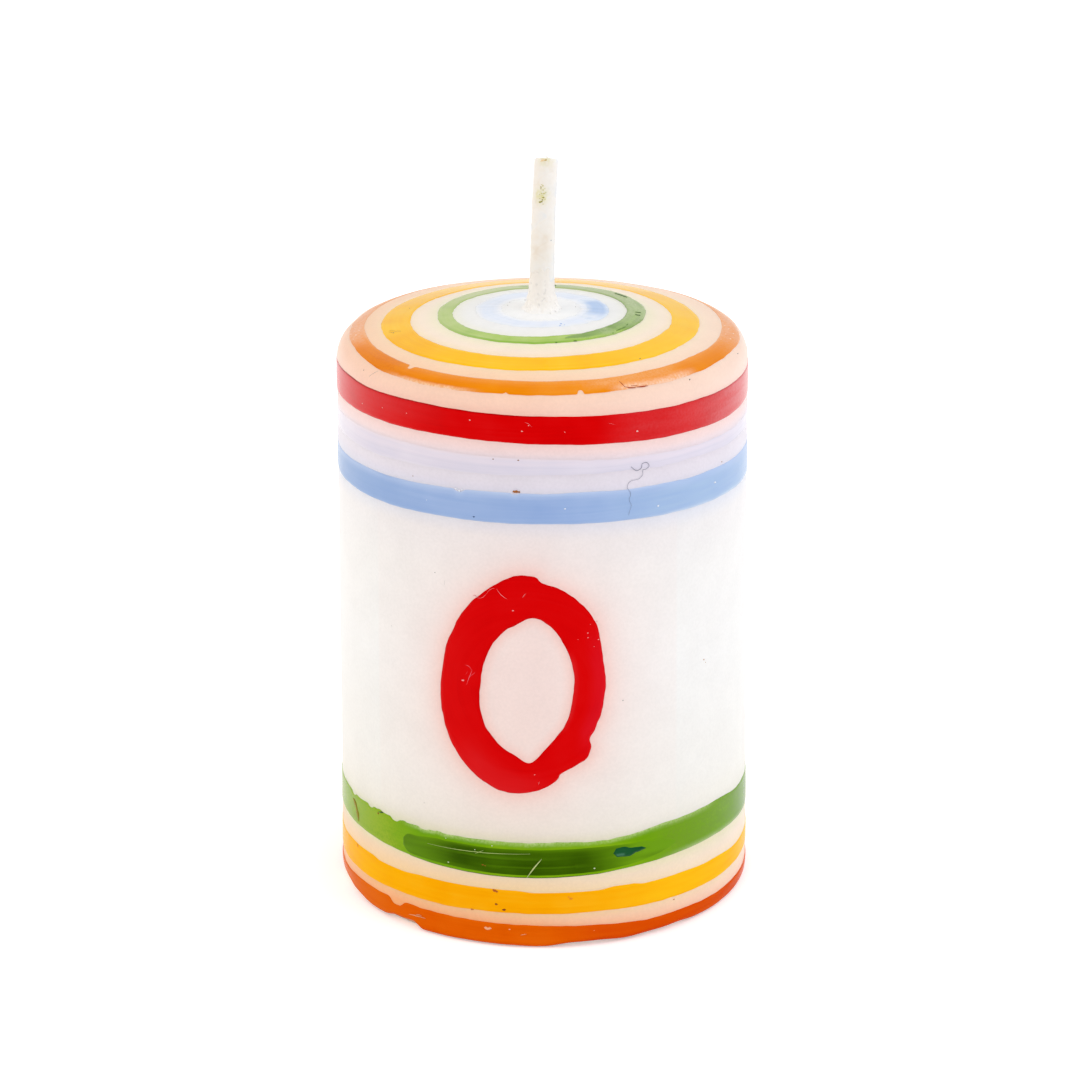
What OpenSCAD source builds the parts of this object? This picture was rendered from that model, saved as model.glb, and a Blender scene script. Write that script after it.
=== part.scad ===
// Small free-standing candle with brushed-on bands of coloured wax and a painted numeral.
// The origin is the centre of the base, +Z runs up the wick and the numeral faces -Y. Millimetres.

/* [Wax body] */
// Height of the wax at the middle of its domed top
body_h = 51; // [48:0.5:90]
// Diameter of the wax at its base
body_d = 35.5; // [34:0.5:60]
// How much narrower the wall is at the top than at the base, for release from the mould
taper = 0.8; // [0:0.1:2]
// Radius of the rounded shoulder
shoulder_r = 2.2; // [1.5:0.1:3]
// Radius of the shallow dome on top
dome_r = 68; // [50:1:200]
// Bevel of the bottom edge
base_bevel = 0.8; // [0.4:0.1:1.5]

/* [Wick] */
// Width of the flat plait
wick_w = 2; // [1.6:0.1:3]
// Length of wick that stands above the wax
wick_free = 13; // [6:0.5:20]
// How far the tip leans to the right of the axis
wick_lean = 0.4; // [0:0.1:1]
// Height of one full turn of the plait
plait_pitch = 6; // [5:0.5:9]
// Gap between the wick and the hole it is drawn through
wick_gap = 0.05; // [0.02:0.01:0.15]
// Radius of the wax that seals the wick where it leaves the top
seal_r = 2.3; // [1.8:0.1:3]
// Height that the sealing wax climbs up the wick
seal_h = 1.7; // [0.8:0.1:3]

/* [Wick tab] */
// Diameter of the steel disc that holds the foot of the wick
tab_d = 12.5; // [8:0.5:20]
// Thickness of the steel
tab_t = 0.3; // [0.2:0.05:0.6]
// How far the disc sits above the base
tab_recess = 0.4; // [0.2:0.1:1]
// Height of the neck that is crimped round the wick
neck_h = 3.5; // [2:0.5:6]
// Gap between the tab and its pocket in the wax
tab_gap = 0.1; // [0.05:0.05:0.3]
// Depth of the crimps in the neck
crimp_depth = 0.12; // [0.05:0.01:0.18]

/* [Coloured wax] */
// Thickness of one coat
coat_t = 0.12; // [0.08:0.02:0.3]
// Inner radius of the blue ring on top
top_blue_r = 3.4; // [3.2:0.1:4]
// Width of the blue ring on top
top_blue_w = 2.1; // [1:0.1:3]
// Inner radius of the green ring on top
top_green_r = 7.3; // [7.1:0.1:8]
// Width of the green ring on top
top_green_w = 1.6; // [1:0.1:2.5]
// Wax left bare between the orange ring on the shoulder and the yellow ring on top
top_yellow_gap = 1.6; // [0.6:0.1:2]
// Width of the yellow ring on top
top_yellow_w = 2.3; // [1:0.1:2.5]
// Inner edge of the orange ring on the shoulder, in degrees round the shoulder from upright
shoulder_orange_from = -4; // [-10:1:10]
// Outer edge of the orange ring, in degrees round the shoulder from upright
shoulder_orange_to = 43; // [35:1:70]
// Distance from the shoulder down to the red band
red_drop = 0.1; // [0:0.1:2]
// Width of the red band
red_w = 2.2; // [1:0.1:3]
// White left between the red and the pale blue band
pale_blue_drop = 1; // [0.3:0.1:2]
// Width of the pale blue band
pale_blue_w = 2.2; // [1:0.1:3]
// White left between the pale blue and the blue band
blue_drop = 1.1; // [0.3:0.1:2]
// Width of the blue band
blue_w = 2.6; // [1:0.1:4]
// Height of the orange foot
foot_h = 1.9; // [1.7:0.1:3]
// How far the orange foot swells beyond the wall
foot_bulge = 0.25; // [0.2:0.05:0.5]
// Radius of the foot's lower edge
foot_edge_r = 0.5; // [0.3:0.05:0.8]
// White left between the orange foot and the yellow band
yellow_rise = 1.2; // [0.3:0.1:2]
// Width of the yellow band
yellow_w = 2; // [1:0.1:3]
// White left between the yellow and the green band
green_rise = 1.6; // [0.3:0.1:3]
// Width of the green band
green_w = 2.9; // [2:0.1:4]

/* [Second coats] */
// Where the blue dab on top starts, in degrees from the front towards the right
top_dab_turn = 64; // [0:1:180]
// How far the blue dab reaches round the top, in degrees
top_dab_sweep = 76; // [30:1:120]
// Where the second coat of the green ring on top starts, in degrees from the front towards the right
top_second_turn = 22; // [0:1:180]
// How far the second coat reaches round the green ring, in degrees
top_second_sweep = 150; // [60:1:180]
// Where the second coat of the green band starts, in degrees from the front towards the right
green_second_turn = -36; // [-60:1:0]
// How far the second coat reaches round the green band, in degrees
green_second_sweep = 74; // [40:1:90]
// Green left bare above the second coat of the green band
green_second_margin = 0.4; // [0.2:0.1:1]

/* [Numeral] */
// Width of the numeral
numeral_w = 13.8; // [12:0.1:16]
// Height of the numeral
numeral_h = 19.6; // [16:0.1:22]
// Width of the white field inside it
counter_w = 7.6; // [6:0.1:9]
// Height of the white field inside it
counter_h = 12.9; // [10:0.1:14]
// How far the white field sits to the right of the numeral's middle
counter_right = 0.4; // [0:0.1:1]
// How far the white field sits below the numeral's middle
counter_drop = 0.45; // [0:0.05:1]
// Radius of the round mark that the brush left at each end of its stroke
brush_end_r = 1.2; // [0.8:0.1:1.6]

/* [Hidden] */
$fn = 180;
far = 200;      // longer than anything in the part, for cutting shapes

// Wall, shoulder and dome, which meet tangent to each other
base_r = body_d / 2;
wall_lean = atan(taper / 2 / body_h);
wall_up = [-sin(wall_lean), cos(wall_lean)];
wall_out = [cos(wall_lean), sin(wall_lean)];
dome_c = [0, body_h - dome_r];
inner_wall_foot = [base_r, 0] - shoulder_r * wall_out;
to_wall_foot = inner_wall_foot - dome_c;
along = to_wall_foot * wall_up;
climb = sqrt(along * along - to_wall_foot * to_wall_foot + pow(dome_r - shoulder_r, 2)) - along;
shoulder_c = inner_wall_foot + climb * wall_up;
shoulder_out = (shoulder_c - dome_c) / norm(shoulder_c - dome_c);
shoulder_z = (shoulder_c + shoulder_r * wall_out)[1];
function wall_r(z) = base_r - z * tan(wall_lean);

// Yellow ring on top, from the inner edge of the orange ring inwards
shoulder_orange_r = shoulder_c[0] + shoulder_r * sin(shoulder_orange_from);
top_yellow_r = shoulder_orange_r - top_yellow_gap - top_yellow_w;

// Bands, from the shoulder down and from the base up
red_z = shoulder_z - red_drop - red_w;
pale_blue_z = red_z - pale_blue_drop - pale_blue_w;
blue_z = pale_blue_z - blue_drop - blue_w;
yellow_z = foot_h + yellow_rise;
green_z = yellow_z + yellow_w + green_rise;
numeral_z = (green_z + green_w + blue_z) / 2;

// Second coats are single brush strokes: shares of their length that are rounded off where they start and end
stroke_start = 0.12;
stroke_end = 0.25;

// Hollows in the lower edge of the orange foot: angle from the front, half angle, depth
foot_hollows = [
    [-37, 8, 0.6], [30, 24, 0.3], [105, 12, 0.4], [165, 18, 0.3], [-125, 14, 0.5]
];

// Wick: three round plies plaited flat
wick_r = wick_w / 2;
wick_hole_r = wick_r + wick_gap;
ply_d = wick_w * 0.32;
plait_x = wick_r - ply_d / 2;
plait_y = ply_d * 0.62;
wick_foot_z = tab_recess;
wick_top_z = body_h + wick_free;
ply_sides = 8;
rings_per_pitch = 12;
neck_r = wick_hole_r + tab_t;

// Numeral: how pointed its two outlines are, and the brush's ends as shares of its half width and half height
outline_point = 0.57;
counter_point = 0.68;
brush_ends = [[0.07, 0.93], [0.62, -0.62]];

// Half section of the white wax, grown outwards by a coat's thickness where one is laid on it
module body_section(grow = 0) {
    bevel = grow > 0 ? 0 : base_bevel;
    polygon([
        [0, 0], [base_r + grow - bevel, 0], [wall_r(bevel) + grow, bevel],
        shoulder_c + (shoulder_r + grow) * wall_out, shoulder_c, [0, shoulder_c[1]]
    ]);
    translate(shoulder_c) circle(r = shoulder_r + grow);
    intersection() {
        translate(dome_c) circle(r = dome_r + grow, $fn = 720);
        polygon([
            [0, shoulder_c[1]], shoulder_c,
            shoulder_c + 2 * (shoulder_r + grow) * shoulder_out, [0, body_h + dome_r]
        ]);
    }
}

// Section of a coat of wax, cut to length by the window given as its child
module coat_section(under = 0, thick = coat_t) {
    intersection() {
        difference() {
            body_section(under + thick);
            body_section(under);
        }
        children();
    }
}

// Windows that choose a stretch of the section: up the wall, across the top, or round the shoulder
module wall_window(z, width) {
    translate([base_r / 2, z]) square([base_r, width]);
}

module top_window(r, width) {
    translate([r, shoulder_z]) square([width, far]);
}

module shoulder_window(from, to) {
    translate(shoulder_c) polygon([
        [0, 0], far * [sin(from), cos(from)], far * [sin((from + to) / 2), cos((from + to) / 2)],
        far * [sin(to), cos(to)]
    ]);
}

// A ring of coat right round the candle
module ring() {
    rotate_extrude() children();
}

// Share of its full width that a brush stroke has at a share of its length
function stroke_swell(share) =
    sqrt(1 - pow(1 - min(share / stroke_start, (1 - share) / stroke_end, 1), 2));

// Outline of a stroke as turns from the front and levels. It runs past its band on both sides,
// so that the band trims it there and only its ends are round.
function stroke(turn, sweep, level, width) =
    let (
        steps = 24,
        shares = [for (i = [0:steps]) (1 - cos(180 * i / steps)) / 2],
        middle = level + width / 2,
        half = 0.7 * width
    )
    [
        for (i = [0:steps]) [turn + sweep * shares[i], middle - half * stroke_swell(shares[i])],
        for (i = [steps - 1:-1:1]) [turn + sweep * shares[i], middle + half * stroke_swell(shares[i])]
    ];

// The part of a ring of coat that lies under a stroke, across the top or on the front of the wall
module top_stroke(turn, sweep, r, width) {
    intersection() {
        ring() coat_section(coat_t) top_window(r, width);
        translate([0, 0, shoulder_z]) linear_extrude(height = far)
            polygon([for (spot = stroke(turn, sweep, r, width)) spot[1] * [sin(spot[0]), -cos(spot[0])]]);
    }
}

module wall_stroke(turn, sweep, z, width) {
    intersection() {
        ring() coat_section(coat_t) wall_window(z, width);
        rotate([90, 0, 0]) linear_extrude(height = far)
            polygon([for (spot = stroke(turn, sweep, z, width)) [base_r * sin(spot[0]), spot[1]]]);
    }
}

module wax_body() {
    color("#f7f4ee") difference() {
        rotate_extrude() body_section();
        translate([0, 0, -1]) cylinder(r = wick_hole_r, h = body_h + 2);
        translate([0, 0, -1]) cylinder(r = tab_d / 2 + tab_gap, h = tab_recess + tab_t + 1);
        translate([0, 0, -1]) cylinder(r = neck_r + tab_gap, h = tab_recess + neck_h + tab_gap + 1);
    }
}

// Middle line of one ply: a figure of eight seen from above, drawn out upwards, and leaning over once free
function lean_at(z) = z > body_h ? wick_lean * pow((z - body_h) / wick_free, 2) : 0;
function ply_at(z, lead) =
    let (turn = 360 * z / plait_pitch + lead)
    [plait_x * sin(turn) + lean_at(z), plait_y * sin(2 * turn), z];
function ply_dir(z, lead) =
    let (step = 0.01, run = ply_at(z + step, lead) - ply_at(z - step, lead))
    run / norm(run);

// One ply as a tube swept along that line, with flat cut ends
module wick_ply(lead) {
    rings = ceil((wick_top_z - wick_foot_z) / plait_pitch * rings_per_pitch);
    points = [
        for (i = [0:rings])
            let (
                z = wick_foot_z + (wick_top_z - wick_foot_z) * i / rings,
                ahead = i == 0 || i == rings ? [0, 0, 1] : ply_dir(z, lead),
                side = cross([0, 1, 0], ahead) / norm(cross([0, 1, 0], ahead)),
                back = cross(ahead, side)
            )
            for (k = [0:ply_sides - 1])
                let (a = 360 * k / ply_sides)
                ply_at(z, lead) + ply_d / 2 * (cos(a) * side + sin(a) * back)
    ];
    faces = [
        [for (k = [ply_sides - 1:-1:0]) rings * ply_sides + k],
        [for (k = [0:ply_sides - 1]) k],
        for (i = [0:rings - 1], k = [0:ply_sides - 1])
            let (a = i * ply_sides, b = a + ply_sides, n = (k + 1) % ply_sides)
            each [[a + k, b + k, a + n], [a + n, b + k, b + n]]
    ];
    color("#efe8dc") polyhedron(points, faces);
}

// Wax drawn up round the root of the wick, hollow-sided like a meniscus
module wick_seal() {
    steps = 8;
    tip_w = 0.12;
    reach = seal_r - wick_hole_r - tip_w;
    hollow = [
        for (i = [0:steps])
            let (a = 90 * i / steps)
            [seal_r - reach * sin(a), body_h + seal_h * (1 - cos(a))]
    ];
    color("#fbf9f4") rotate_extrude() difference() {
        polygon(concat(
            [[wick_hole_r, body_h + seal_h], [wick_hole_r, body_h - 1], [seal_r, body_h - 1]], hollow
        ));
        body_section();
    }
}

// Pressed steel disc with a drawn neck, crimped on the wick from four sides
module wick_tab() {
    crimp_r = 0.7;
    crimp_z = tab_recess + neck_h * 0.65;
    color("#b9bcc0") difference() {
        rotate_extrude() polygon([
            [wick_hole_r, tab_recess], [tab_d / 2, tab_recess], [tab_d / 2, tab_recess + tab_t],
            [neck_r, tab_recess + tab_t], [neck_r, tab_recess + neck_h], [wick_hole_r, tab_recess + neck_h]
        ]);
        for (a = [45:90:315])
            rotate([0, 0, a]) translate([neck_r + crimp_r - crimp_depth, 0, crimp_z])
                rotate([90, 0, 0]) cylinder(r = crimp_r, h = far, center = true, $fn = 48);
    }
}

module top_blue_ring() {
    color("#dfe8f8") ring() coat_section() top_window(top_blue_r, top_blue_w);
}

module top_blue_dab() {
    color("#b4cbf0") top_stroke(top_dab_turn, top_dab_sweep, top_blue_r, top_blue_w);
}

module top_green_ring() {
    color("#8fb44e") ring() coat_section() top_window(top_green_r, top_green_w);
}

module top_green_second_coat() {
    color("#6f9a4a") top_stroke(top_second_turn, top_second_sweep, top_green_r, top_green_w);
}

module top_yellow_ring() {
    color("#f7bd2c") ring() coat_section() top_window(top_yellow_r, top_yellow_w);
}

module shoulder_orange_ring() {
    color("#e8872a") ring() coat_section() shoulder_window(shoulder_orange_from, shoulder_orange_to);
}

module red_band() {
    color("#d0101c") ring() coat_section() wall_window(red_z, red_w);
}

module pale_blue_band() {
    color("#dcdcec") ring() coat_section() wall_window(pale_blue_z, pale_blue_w);
}

module blue_band() {
    color("#98b0dc") ring() coat_section() wall_window(blue_z, blue_w);
}

// A pointed oval: 0.5 makes an ellipse, and a larger point draws the ends out
module oval(width, height, point) {
    steps = 24;
    side = [
        for (i = [0:steps])
            let (a = 180 * i / steps - 90)
            [width / 2 * pow(cos(a), 2 * point), height / 2 * sin(a)]
    ];
    polygon(concat(side, [for (i = [steps - 1:-1:1]) [-side[i][0], side[i][1]]]));
}

// The numeral laid flat: a ring of brushed wax, with the round marks where the brush was set down and lifted
module numeral_outline() {
    difference() {
        union() {
            oval(numeral_w, numeral_h, outline_point);
            for (end = brush_ends)
                translate([end[0] * numeral_w / 2, end[1] * numeral_h / 2]) circle(r = brush_end_r);
        }
        translate([counter_right, -counter_drop]) oval(counter_w, counter_h, counter_point);
    }
}

module numeral_zero() {
    color("#d20a10") intersection() {
        ring() coat_section() wall_window(green_z + green_w, blue_z - green_z - green_w);
        translate([0, 0, numeral_z]) rotate([90, 0, 0]) linear_extrude(height = far) numeral_outline();
    }
}

module green_band() {
    color("#7fb02e") ring() coat_section() wall_window(green_z, green_w);
}

module green_second_coat() {
    color("#3f7a10")
        wall_stroke(green_second_turn, green_second_sweep, green_z, green_w - green_second_margin);
}

module yellow_band() {
    color("#fab40e") ring() coat_section() wall_window(yellow_z, yellow_w);
}

// Thick orange wax run down over the bottom edge, with an uneven lower rim
module orange_foot() {
    outer_r = base_r + foot_bulge;
    corner = [outer_r - foot_edge_r, foot_edge_r];
    color("#df6a12") difference() {
        rotate_extrude() difference() {
            union() {
                polygon([
                    [base_r - base_bevel, 0], [corner[0], 0], corner, [outer_r, corner[1]],
                    [wall_r(foot_h) + coat_t, foot_h], [base_r - base_bevel, foot_h]
                ]);
                translate(corner) circle(r = foot_edge_r);
            }
            body_section();
        }
        for (hollow = foot_hollows) {
            half_chord = outer_r * sin(hollow[1]);
            cut_r = (half_chord * half_chord + hollow[2] * hollow[2]) / (2 * hollow[2]);
            rotate([0, 0, hollow[0]]) translate([0, 0, hollow[2] - cut_r])
                rotate([90, 0, 0]) cylinder(r = cut_r, h = far);
        }
    }
}

wax_body();
wick_ply(0);  // wick_ply_1
wick_ply(120);  // wick_ply_2
wick_ply(240);  // wick_ply_3
wick_seal();
wick_tab();
top_blue_ring();
top_blue_dab();
top_green_ring();
top_green_second_coat();
top_yellow_ring();
shoulder_orange_ring();
red_band();
pale_blue_band();
blue_band();
numeral_zero();
green_band();
green_second_coat();
yellow_band();
orange_foot();
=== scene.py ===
import math
import random

import bmesh
import bpy
import numpy as np
from mathutils import Matrix, Vector, noise


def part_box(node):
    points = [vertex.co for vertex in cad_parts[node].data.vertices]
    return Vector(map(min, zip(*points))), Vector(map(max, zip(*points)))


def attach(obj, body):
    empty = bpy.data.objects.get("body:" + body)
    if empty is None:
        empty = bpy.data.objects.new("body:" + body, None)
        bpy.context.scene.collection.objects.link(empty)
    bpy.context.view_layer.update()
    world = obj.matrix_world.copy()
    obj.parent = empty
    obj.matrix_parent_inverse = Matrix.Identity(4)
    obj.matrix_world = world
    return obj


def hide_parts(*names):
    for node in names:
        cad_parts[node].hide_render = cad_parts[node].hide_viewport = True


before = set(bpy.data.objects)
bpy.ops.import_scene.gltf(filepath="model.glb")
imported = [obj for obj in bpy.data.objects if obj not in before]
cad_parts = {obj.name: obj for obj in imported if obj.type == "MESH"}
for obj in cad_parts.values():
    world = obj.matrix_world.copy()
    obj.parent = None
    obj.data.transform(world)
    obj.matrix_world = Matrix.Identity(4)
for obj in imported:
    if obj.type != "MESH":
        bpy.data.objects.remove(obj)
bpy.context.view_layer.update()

mm = 0.001
scene = bpy.context.scene
scene.view_settings.view_transform = "Standard"
print("frame loaded:", len(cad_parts), "nodes")


def toLinear(hexColour):
    channels = [int(hexColour[i:i + 2], 16) / 255 for i in (1, 3, 5)]
    return tuple(c / 12.92 if c <= 0.04045 else ((c + 0.055) / 1.055) ** 2.4 for c in channels) + (1.0,)


# A node with its settings, and its inputs as values or links
def addNode(tree, kind, inputs=None, **settings):
    node = tree.nodes.new("ShaderNode" + kind)
    for key, value in settings.items():
        setattr(node, key, value)
    for key, value in (inputs or {}).items():
        if isinstance(value, bpy.types.NodeSocket):
            tree.links.new(value, node.inputs[key])
        else:
            node.inputs[key].default_value = value
    return node


def fillRamp(ramp, stops):
    ramp.color_ramp.elements.remove(ramp.color_ramp.elements[1])
    for i, (place, colour) in enumerate(stops):
        stop = ramp.color_ramp.elements[0] if i == 0 else ramp.color_ramp.elements.new(place)
        stop.position = place
        stop.color = toLinear(colour)
    return ramp


def newMaterial(name):
    material = bpy.data.materials.new(name)
    material.use_nodes = True
    material.node_tree.nodes.clear()
    return material, material.node_tree


# Camera, matched to the photograph: a long lens, a little above the top and a little to the numeral's right
cameraSetup = {
    "turn": 6.3,           # degrees round from the front
    "elevation": 19.86,
    "roll": 0.23,          # the candle leans this much to the left in the picture
    "distance": 350.8,     # mm from the aim
    "aimHeight": 30.19,    # mm up the axis
    "aside": 0.25,         # mm that the axis stands to the right of the picture's middle
    "lens": 135.84,        # mm, on a sensor this wide
    "sensor": 36,
    "clip": 0.01,          # metres
}


# Direction from the candle, turned from the front towards the right and risen, in degrees
def direction(turn, rise):
    turn, rise = math.radians(turn), math.radians(rise)
    return Vector((math.sin(turn) * math.cos(rise), -math.cos(turn) * math.cos(rise), math.sin(rise)))


def makeCamera(setup):
    back = direction(setup["turn"], setup["elevation"])
    turn, roll = math.radians(setup["turn"]), math.radians(setup["roll"])
    right = Vector((math.cos(turn), math.sin(turn), 0))
    up = back.cross(right)
    right, up = (right * math.cos(roll) - up * math.sin(roll),
                 right * math.sin(roll) + up * math.cos(roll))
    data = bpy.data.cameras.new("studioCamera")
    data.sensor_width = setup["sensor"]
    data.lens = setup["lens"]
    data.clip_start = setup["clip"]
    camera = bpy.data.objects.new("studioCamera", data)
    place = Vector((0, 0, setup["aimHeight"])) + back * setup["distance"] - right * setup["aside"]
    camera.matrix_world = Matrix.Translation(place * mm) @ Matrix((right, up, back)).transposed().to_4x4()
    scene.collection.objects.link(camera)
    scene.camera = camera


makeCamera(cameraSetup)
print("camera set")

# Half section of the white wax in mm, with its size from the frame: wall, rounded shoulder, shallow dome
section = {
    "baseR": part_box("wax_body")[1].x / mm,
    "height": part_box("wax_body")[1].z / mm,
    "taper": 0.8,
    "shoulderR": 2.2,
    "domeR": 68.0,
    "bevel": 0.8,
    "lumps": 0.05,         # how far the poured wax wanders from true
    "lumpSizes": (9, 2.5),
    "smallLumps": 0.3,     # share of the smaller ones
    "brushR": 17.5,        # mm, of the cylinder that patterns run on
}


def finishSection(s):
    lean = math.atan(s["taper"] / 2 / s["height"])
    wallUp = Vector((-math.sin(lean), math.cos(lean)))
    wallOut = Vector((math.cos(lean), math.sin(lean)))
    domeC = Vector((0, s["height"] - s["domeR"]))
    foot = Vector((s["baseR"], 0)) - wallOut * s["shoulderR"]
    run = foot - domeC
    along = run.dot(wallUp)
    climb = math.sqrt(along ** 2 - run.length_squared + (s["domeR"] - s["shoulderR"]) ** 2) - along
    shoulderC = foot + wallUp * climb
    brim = math.atan2(shoulderC.x, shoulderC.y - domeC.y)
    s.update(lean=lean, wallUp=wallUp, domeC=domeC, shoulderC=shoulderC, brim=brim, wallLen=climb)
    s["arcLen"] = s["shoulderR"] * (math.pi / 2 - brim - lean)
    s["length"] = climb + s["arcLen"] + s["domeR"] * brim


finishSection(section)


# Radius, height and outward direction at a length p in mm up the wall, round the shoulder and in over the top
def surfaceAt(p):
    s = section
    if p <= s["wallLen"]:
        spot = Vector((s["baseR"], 0)) + s["wallUp"] * p
        return spot.x, spot.y, math.cos(s["lean"]), math.sin(s["lean"])
    if p <= s["wallLen"] + s["arcLen"]:
        a = s["lean"] + (p - s["wallLen"]) / s["shoulderR"]
        centre, reach = s["shoulderC"], s["shoulderR"]
    else:
        a = math.pi / 2 - s["brim"] + (p - s["wallLen"] - s["arcLen"]) / s["domeR"]
        centre, reach = s["domeC"], s["domeR"]
    return centre.x + reach * math.cos(a), centre.y + reach * math.sin(a), math.cos(a), math.sin(a)


def easeStep(value):
    share = min(max(value, 0.0), 1.0)
    return share * share * (3 - 2 * share)


# Length p at a radius on the domed top
def topP(r):
    return section["length"] - section["domeR"] * math.asin(r / section["domeR"])


# Point at a radius and a height in mm, turned from the front towards the right in degrees
def turned(r, turn, z):
    a = math.radians(turn)
    return Vector((r * math.sin(a), -r * math.cos(a), z))


# Place on the candle as a point on a cylinder, so that patterns run round it without a seam
def brushSpace(p, turn):
    return turned(section["brushR"], turn, p)


# Noise round the candle without a seam: about six lumps a turn for each of its waves, from a layer of its own
def roundNoise(turn, waves, layer):
    a = math.radians(turn)
    return noise.noise(Vector((waves * math.sin(a), waves * math.cos(a), layer)))


# Point on the wax in metres, lifted off it in mm
def onCandle(p, turn, lift=0.0):
    r, z, outR, outZ = surfaceAt(p)
    spot = brushSpace(p, turn)
    large, small = (noise.noise(spot / size) for size in section["lumpSizes"])
    lift += section["lumps"] * (large + section["smallLumps"] * small)
    return turned(r + lift * outR, turn, z + lift * outZ) * mm


# Mesh from a row of closed loops of points, joined end to end or capped
def loopMesh(loops, joined=True):
    size = len(loops[0])
    verts = [spot for loop in loops for spot in loop]
    faces = []
    for i in range(len(loops) if joined else len(loops) - 1):
        here, after = i * size, (i + 1) % len(loops) * size
        for k in range(size):
            n = (k + 1) % size
            faces.append((here + k, here + n, after + n, after + k))
    if not joined:
        faces.append(tuple(range(size - 1, -1, -1)))
        faces.append(tuple(range(len(verts) - size, len(verts))))
    return verts, faces


# Marks on a piece's points by how many numbers each holds
markKinds = {1: ("FLOAT", "value"), 3: ("FLOAT_VECTOR", "vector"), 4: ("FLOAT_COLOR", "color")}


# A piece that rides on the candle, instead of the solids that it replaces
def makePiece(name, verts, faces, material, nodes=(), marks=None):
    mesh = bpy.data.meshes.new(name)
    mesh.from_pydata(verts, [], faces)
    for key, values in (marks or {}).items():
        kind, field = markKinds[np.size(values[0])]
        layer = mesh.attributes.new(key, kind, "POINT")
        layer.data.foreach_set(field, np.array(values, np.float32).ravel())
    shape = bmesh.new()
    shape.from_mesh(mesh)
    bmesh.ops.recalc_face_normals(shape, faces=shape.faces)
    shape.to_mesh(mesh)
    shape.free()
    mesh.shade_smooth()
    mesh.materials.append(material)
    piece = bpy.data.objects.new(name, mesh)
    scene.collection.objects.link(piece)
    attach(piece, "root")
    if nodes:
        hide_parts(*nodes)


# Worn, thin or twice-brushed places on a coat, and places of painted light and shade: paler painted
# sheen and lit sides, darker painted shade along some edges. Shares count across it, from its lower edge
# up, or from the inside of the numeral out. Each place has a colour and a strength, and a softness for
# its turns and shares
allRound = (-180, 180)


def wornAndLit(turns, turnSoft, colour, strength):
    return turns, turnSoft, (-1, 2), 1, colour, strength


def streak(shares, soft, colour, strength, turns, turnSoft):
    return turns, turnSoft, shares, soft, colour, strength


def lower(share, soft, colour, strength, turns=allRound, turnSoft=1):
    return streak((-1, share), soft, colour, strength, turns, turnSoft)


def upper(share, soft, colour, strength, turns=allRound, turnSoft=1):
    return streak((share, 2), soft, colour, strength, turns, turnSoft)


# Numeral, drawn by hand: outlines as mm round the wall from the front and mm up it
numeral = {
    "outer": [
        (0.45, 33.45), (1.35, 33.3), (1.85, 32.8), (3.3, 32.25), (4.55, 31.4), (5.5, 30.45), (6.2, 29.4),
        (6.6, 28.2), (6.9, 26.5), (7.15, 24.3), (7.15, 22.8), (6.85, 21.2), (6.45, 20.0), (5.9, 18.95),
        (5.85, 18.5), (5.95, 18.1), (5.8, 17.5), (5.5, 17.0), (4.9, 16.6), (3.4, 15.8), (3.1, 15.3),
        (2.4, 14.75), (1.4, 14.3), (0.0, 14.0), (-1.35, 14.05), (-2.6, 14.5), (-3.9, 15.35), (-5.0, 16.4),
        (-5.95, 17.75), (-6.6, 19.3), (-7.0, 21.2), (-7.05, 22.7), (-6.85, 24.7), (-6.45, 26.8),
        (-5.85, 28.1), (-5.35, 29.2), (-4.3, 30.65), (-3.3, 31.6), (-2.2, 32.45), (-1.0, 33.15),
        (-0.3, 33.4),
    ],
    "inner": [
        (0.8, 29.55), (1.35, 29.6), (1.95, 29.3), (2.7, 28.65), (3.4, 27.65), (3.95, 26.5), (4.3, 25.0),
        (4.4, 23.8), (4.2, 22.1), (3.75, 20.4), (2.85, 19.1), (1.9, 17.95), (1.25, 17.2), (0.8, 16.9),
        (0.35, 16.95), (-0.45, 17.5), (-1.5, 18.15), (-2.15, 18.85), (-2.9, 19.9), (-3.3, 21.2),
        (-3.4, 22.6), (-3.15, 24.8), (-2.75, 26.25), (-2.1, 27.4), (-1.25, 28.4), (-0.3, 29.0), (0.4, 29.4),
    ],
    "centre": (0.4, 23.4),
    "wallR": 17.55,
    "lift": 0.07,
    "sink": 0.02,          # its edges lie this deep in the wax
    "edgeRound": 0.22,
    "ripple": 0.12,        # of its top, in shares of the lift
    "rippleSize": 3,
    "steps": 360,
    "across": 18,
    "ragged": 0.06,        # mm that its edges wander where the wax dragged
    "raggedWaves": 1.4,    # to a millimetre
    "strokeR": 6,          # mm, of the circle that its brush marks run on
    "paint": {"thin": "#db0a0c", "full": "#da0305", "deep": "#d20003"},
    # Here the turns count round the numeral from its right
    "wearAndLight": [
        upper(0.6, 0.4, "#dc1a2c", 0.38, (-44, 34), 30), lower(0.1, 0.2, "#de3236", 0.45, (-44, 34), 24),
        # The two thin dark red lines along the inner and outer outlines are painted shade at the edges
        upper(0.5, 0.5, "#dd2226", 0.5, (-130, -84), 24), lower(0.02, 0.05, "#9c0a14", 0.75),
        upper(0.98, 0.05, "#9c0a14", 0.75),
    ],
}


# Point on a smooth curve between b and c, with a before them and d after
def curvePoint(a, b, c, d, t):
    return 0.5 * (2 * b + (c - a) * t + (2 * a - 5 * b + 4 * c - d) * t ** 2
                  + (3 * b - a - 3 * c + d) * t ** 3)


# Closed curve through given points
def smoothLoop(points, steps=8):
    count = len(points)
    line = []
    for i in range(count):
        corners = [Vector(points[(i + k) % count]) for k in (-1, 0, 1, 2)]
        line += [curvePoint(*corners, k / steps) for k in range(steps)]
    return line


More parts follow.
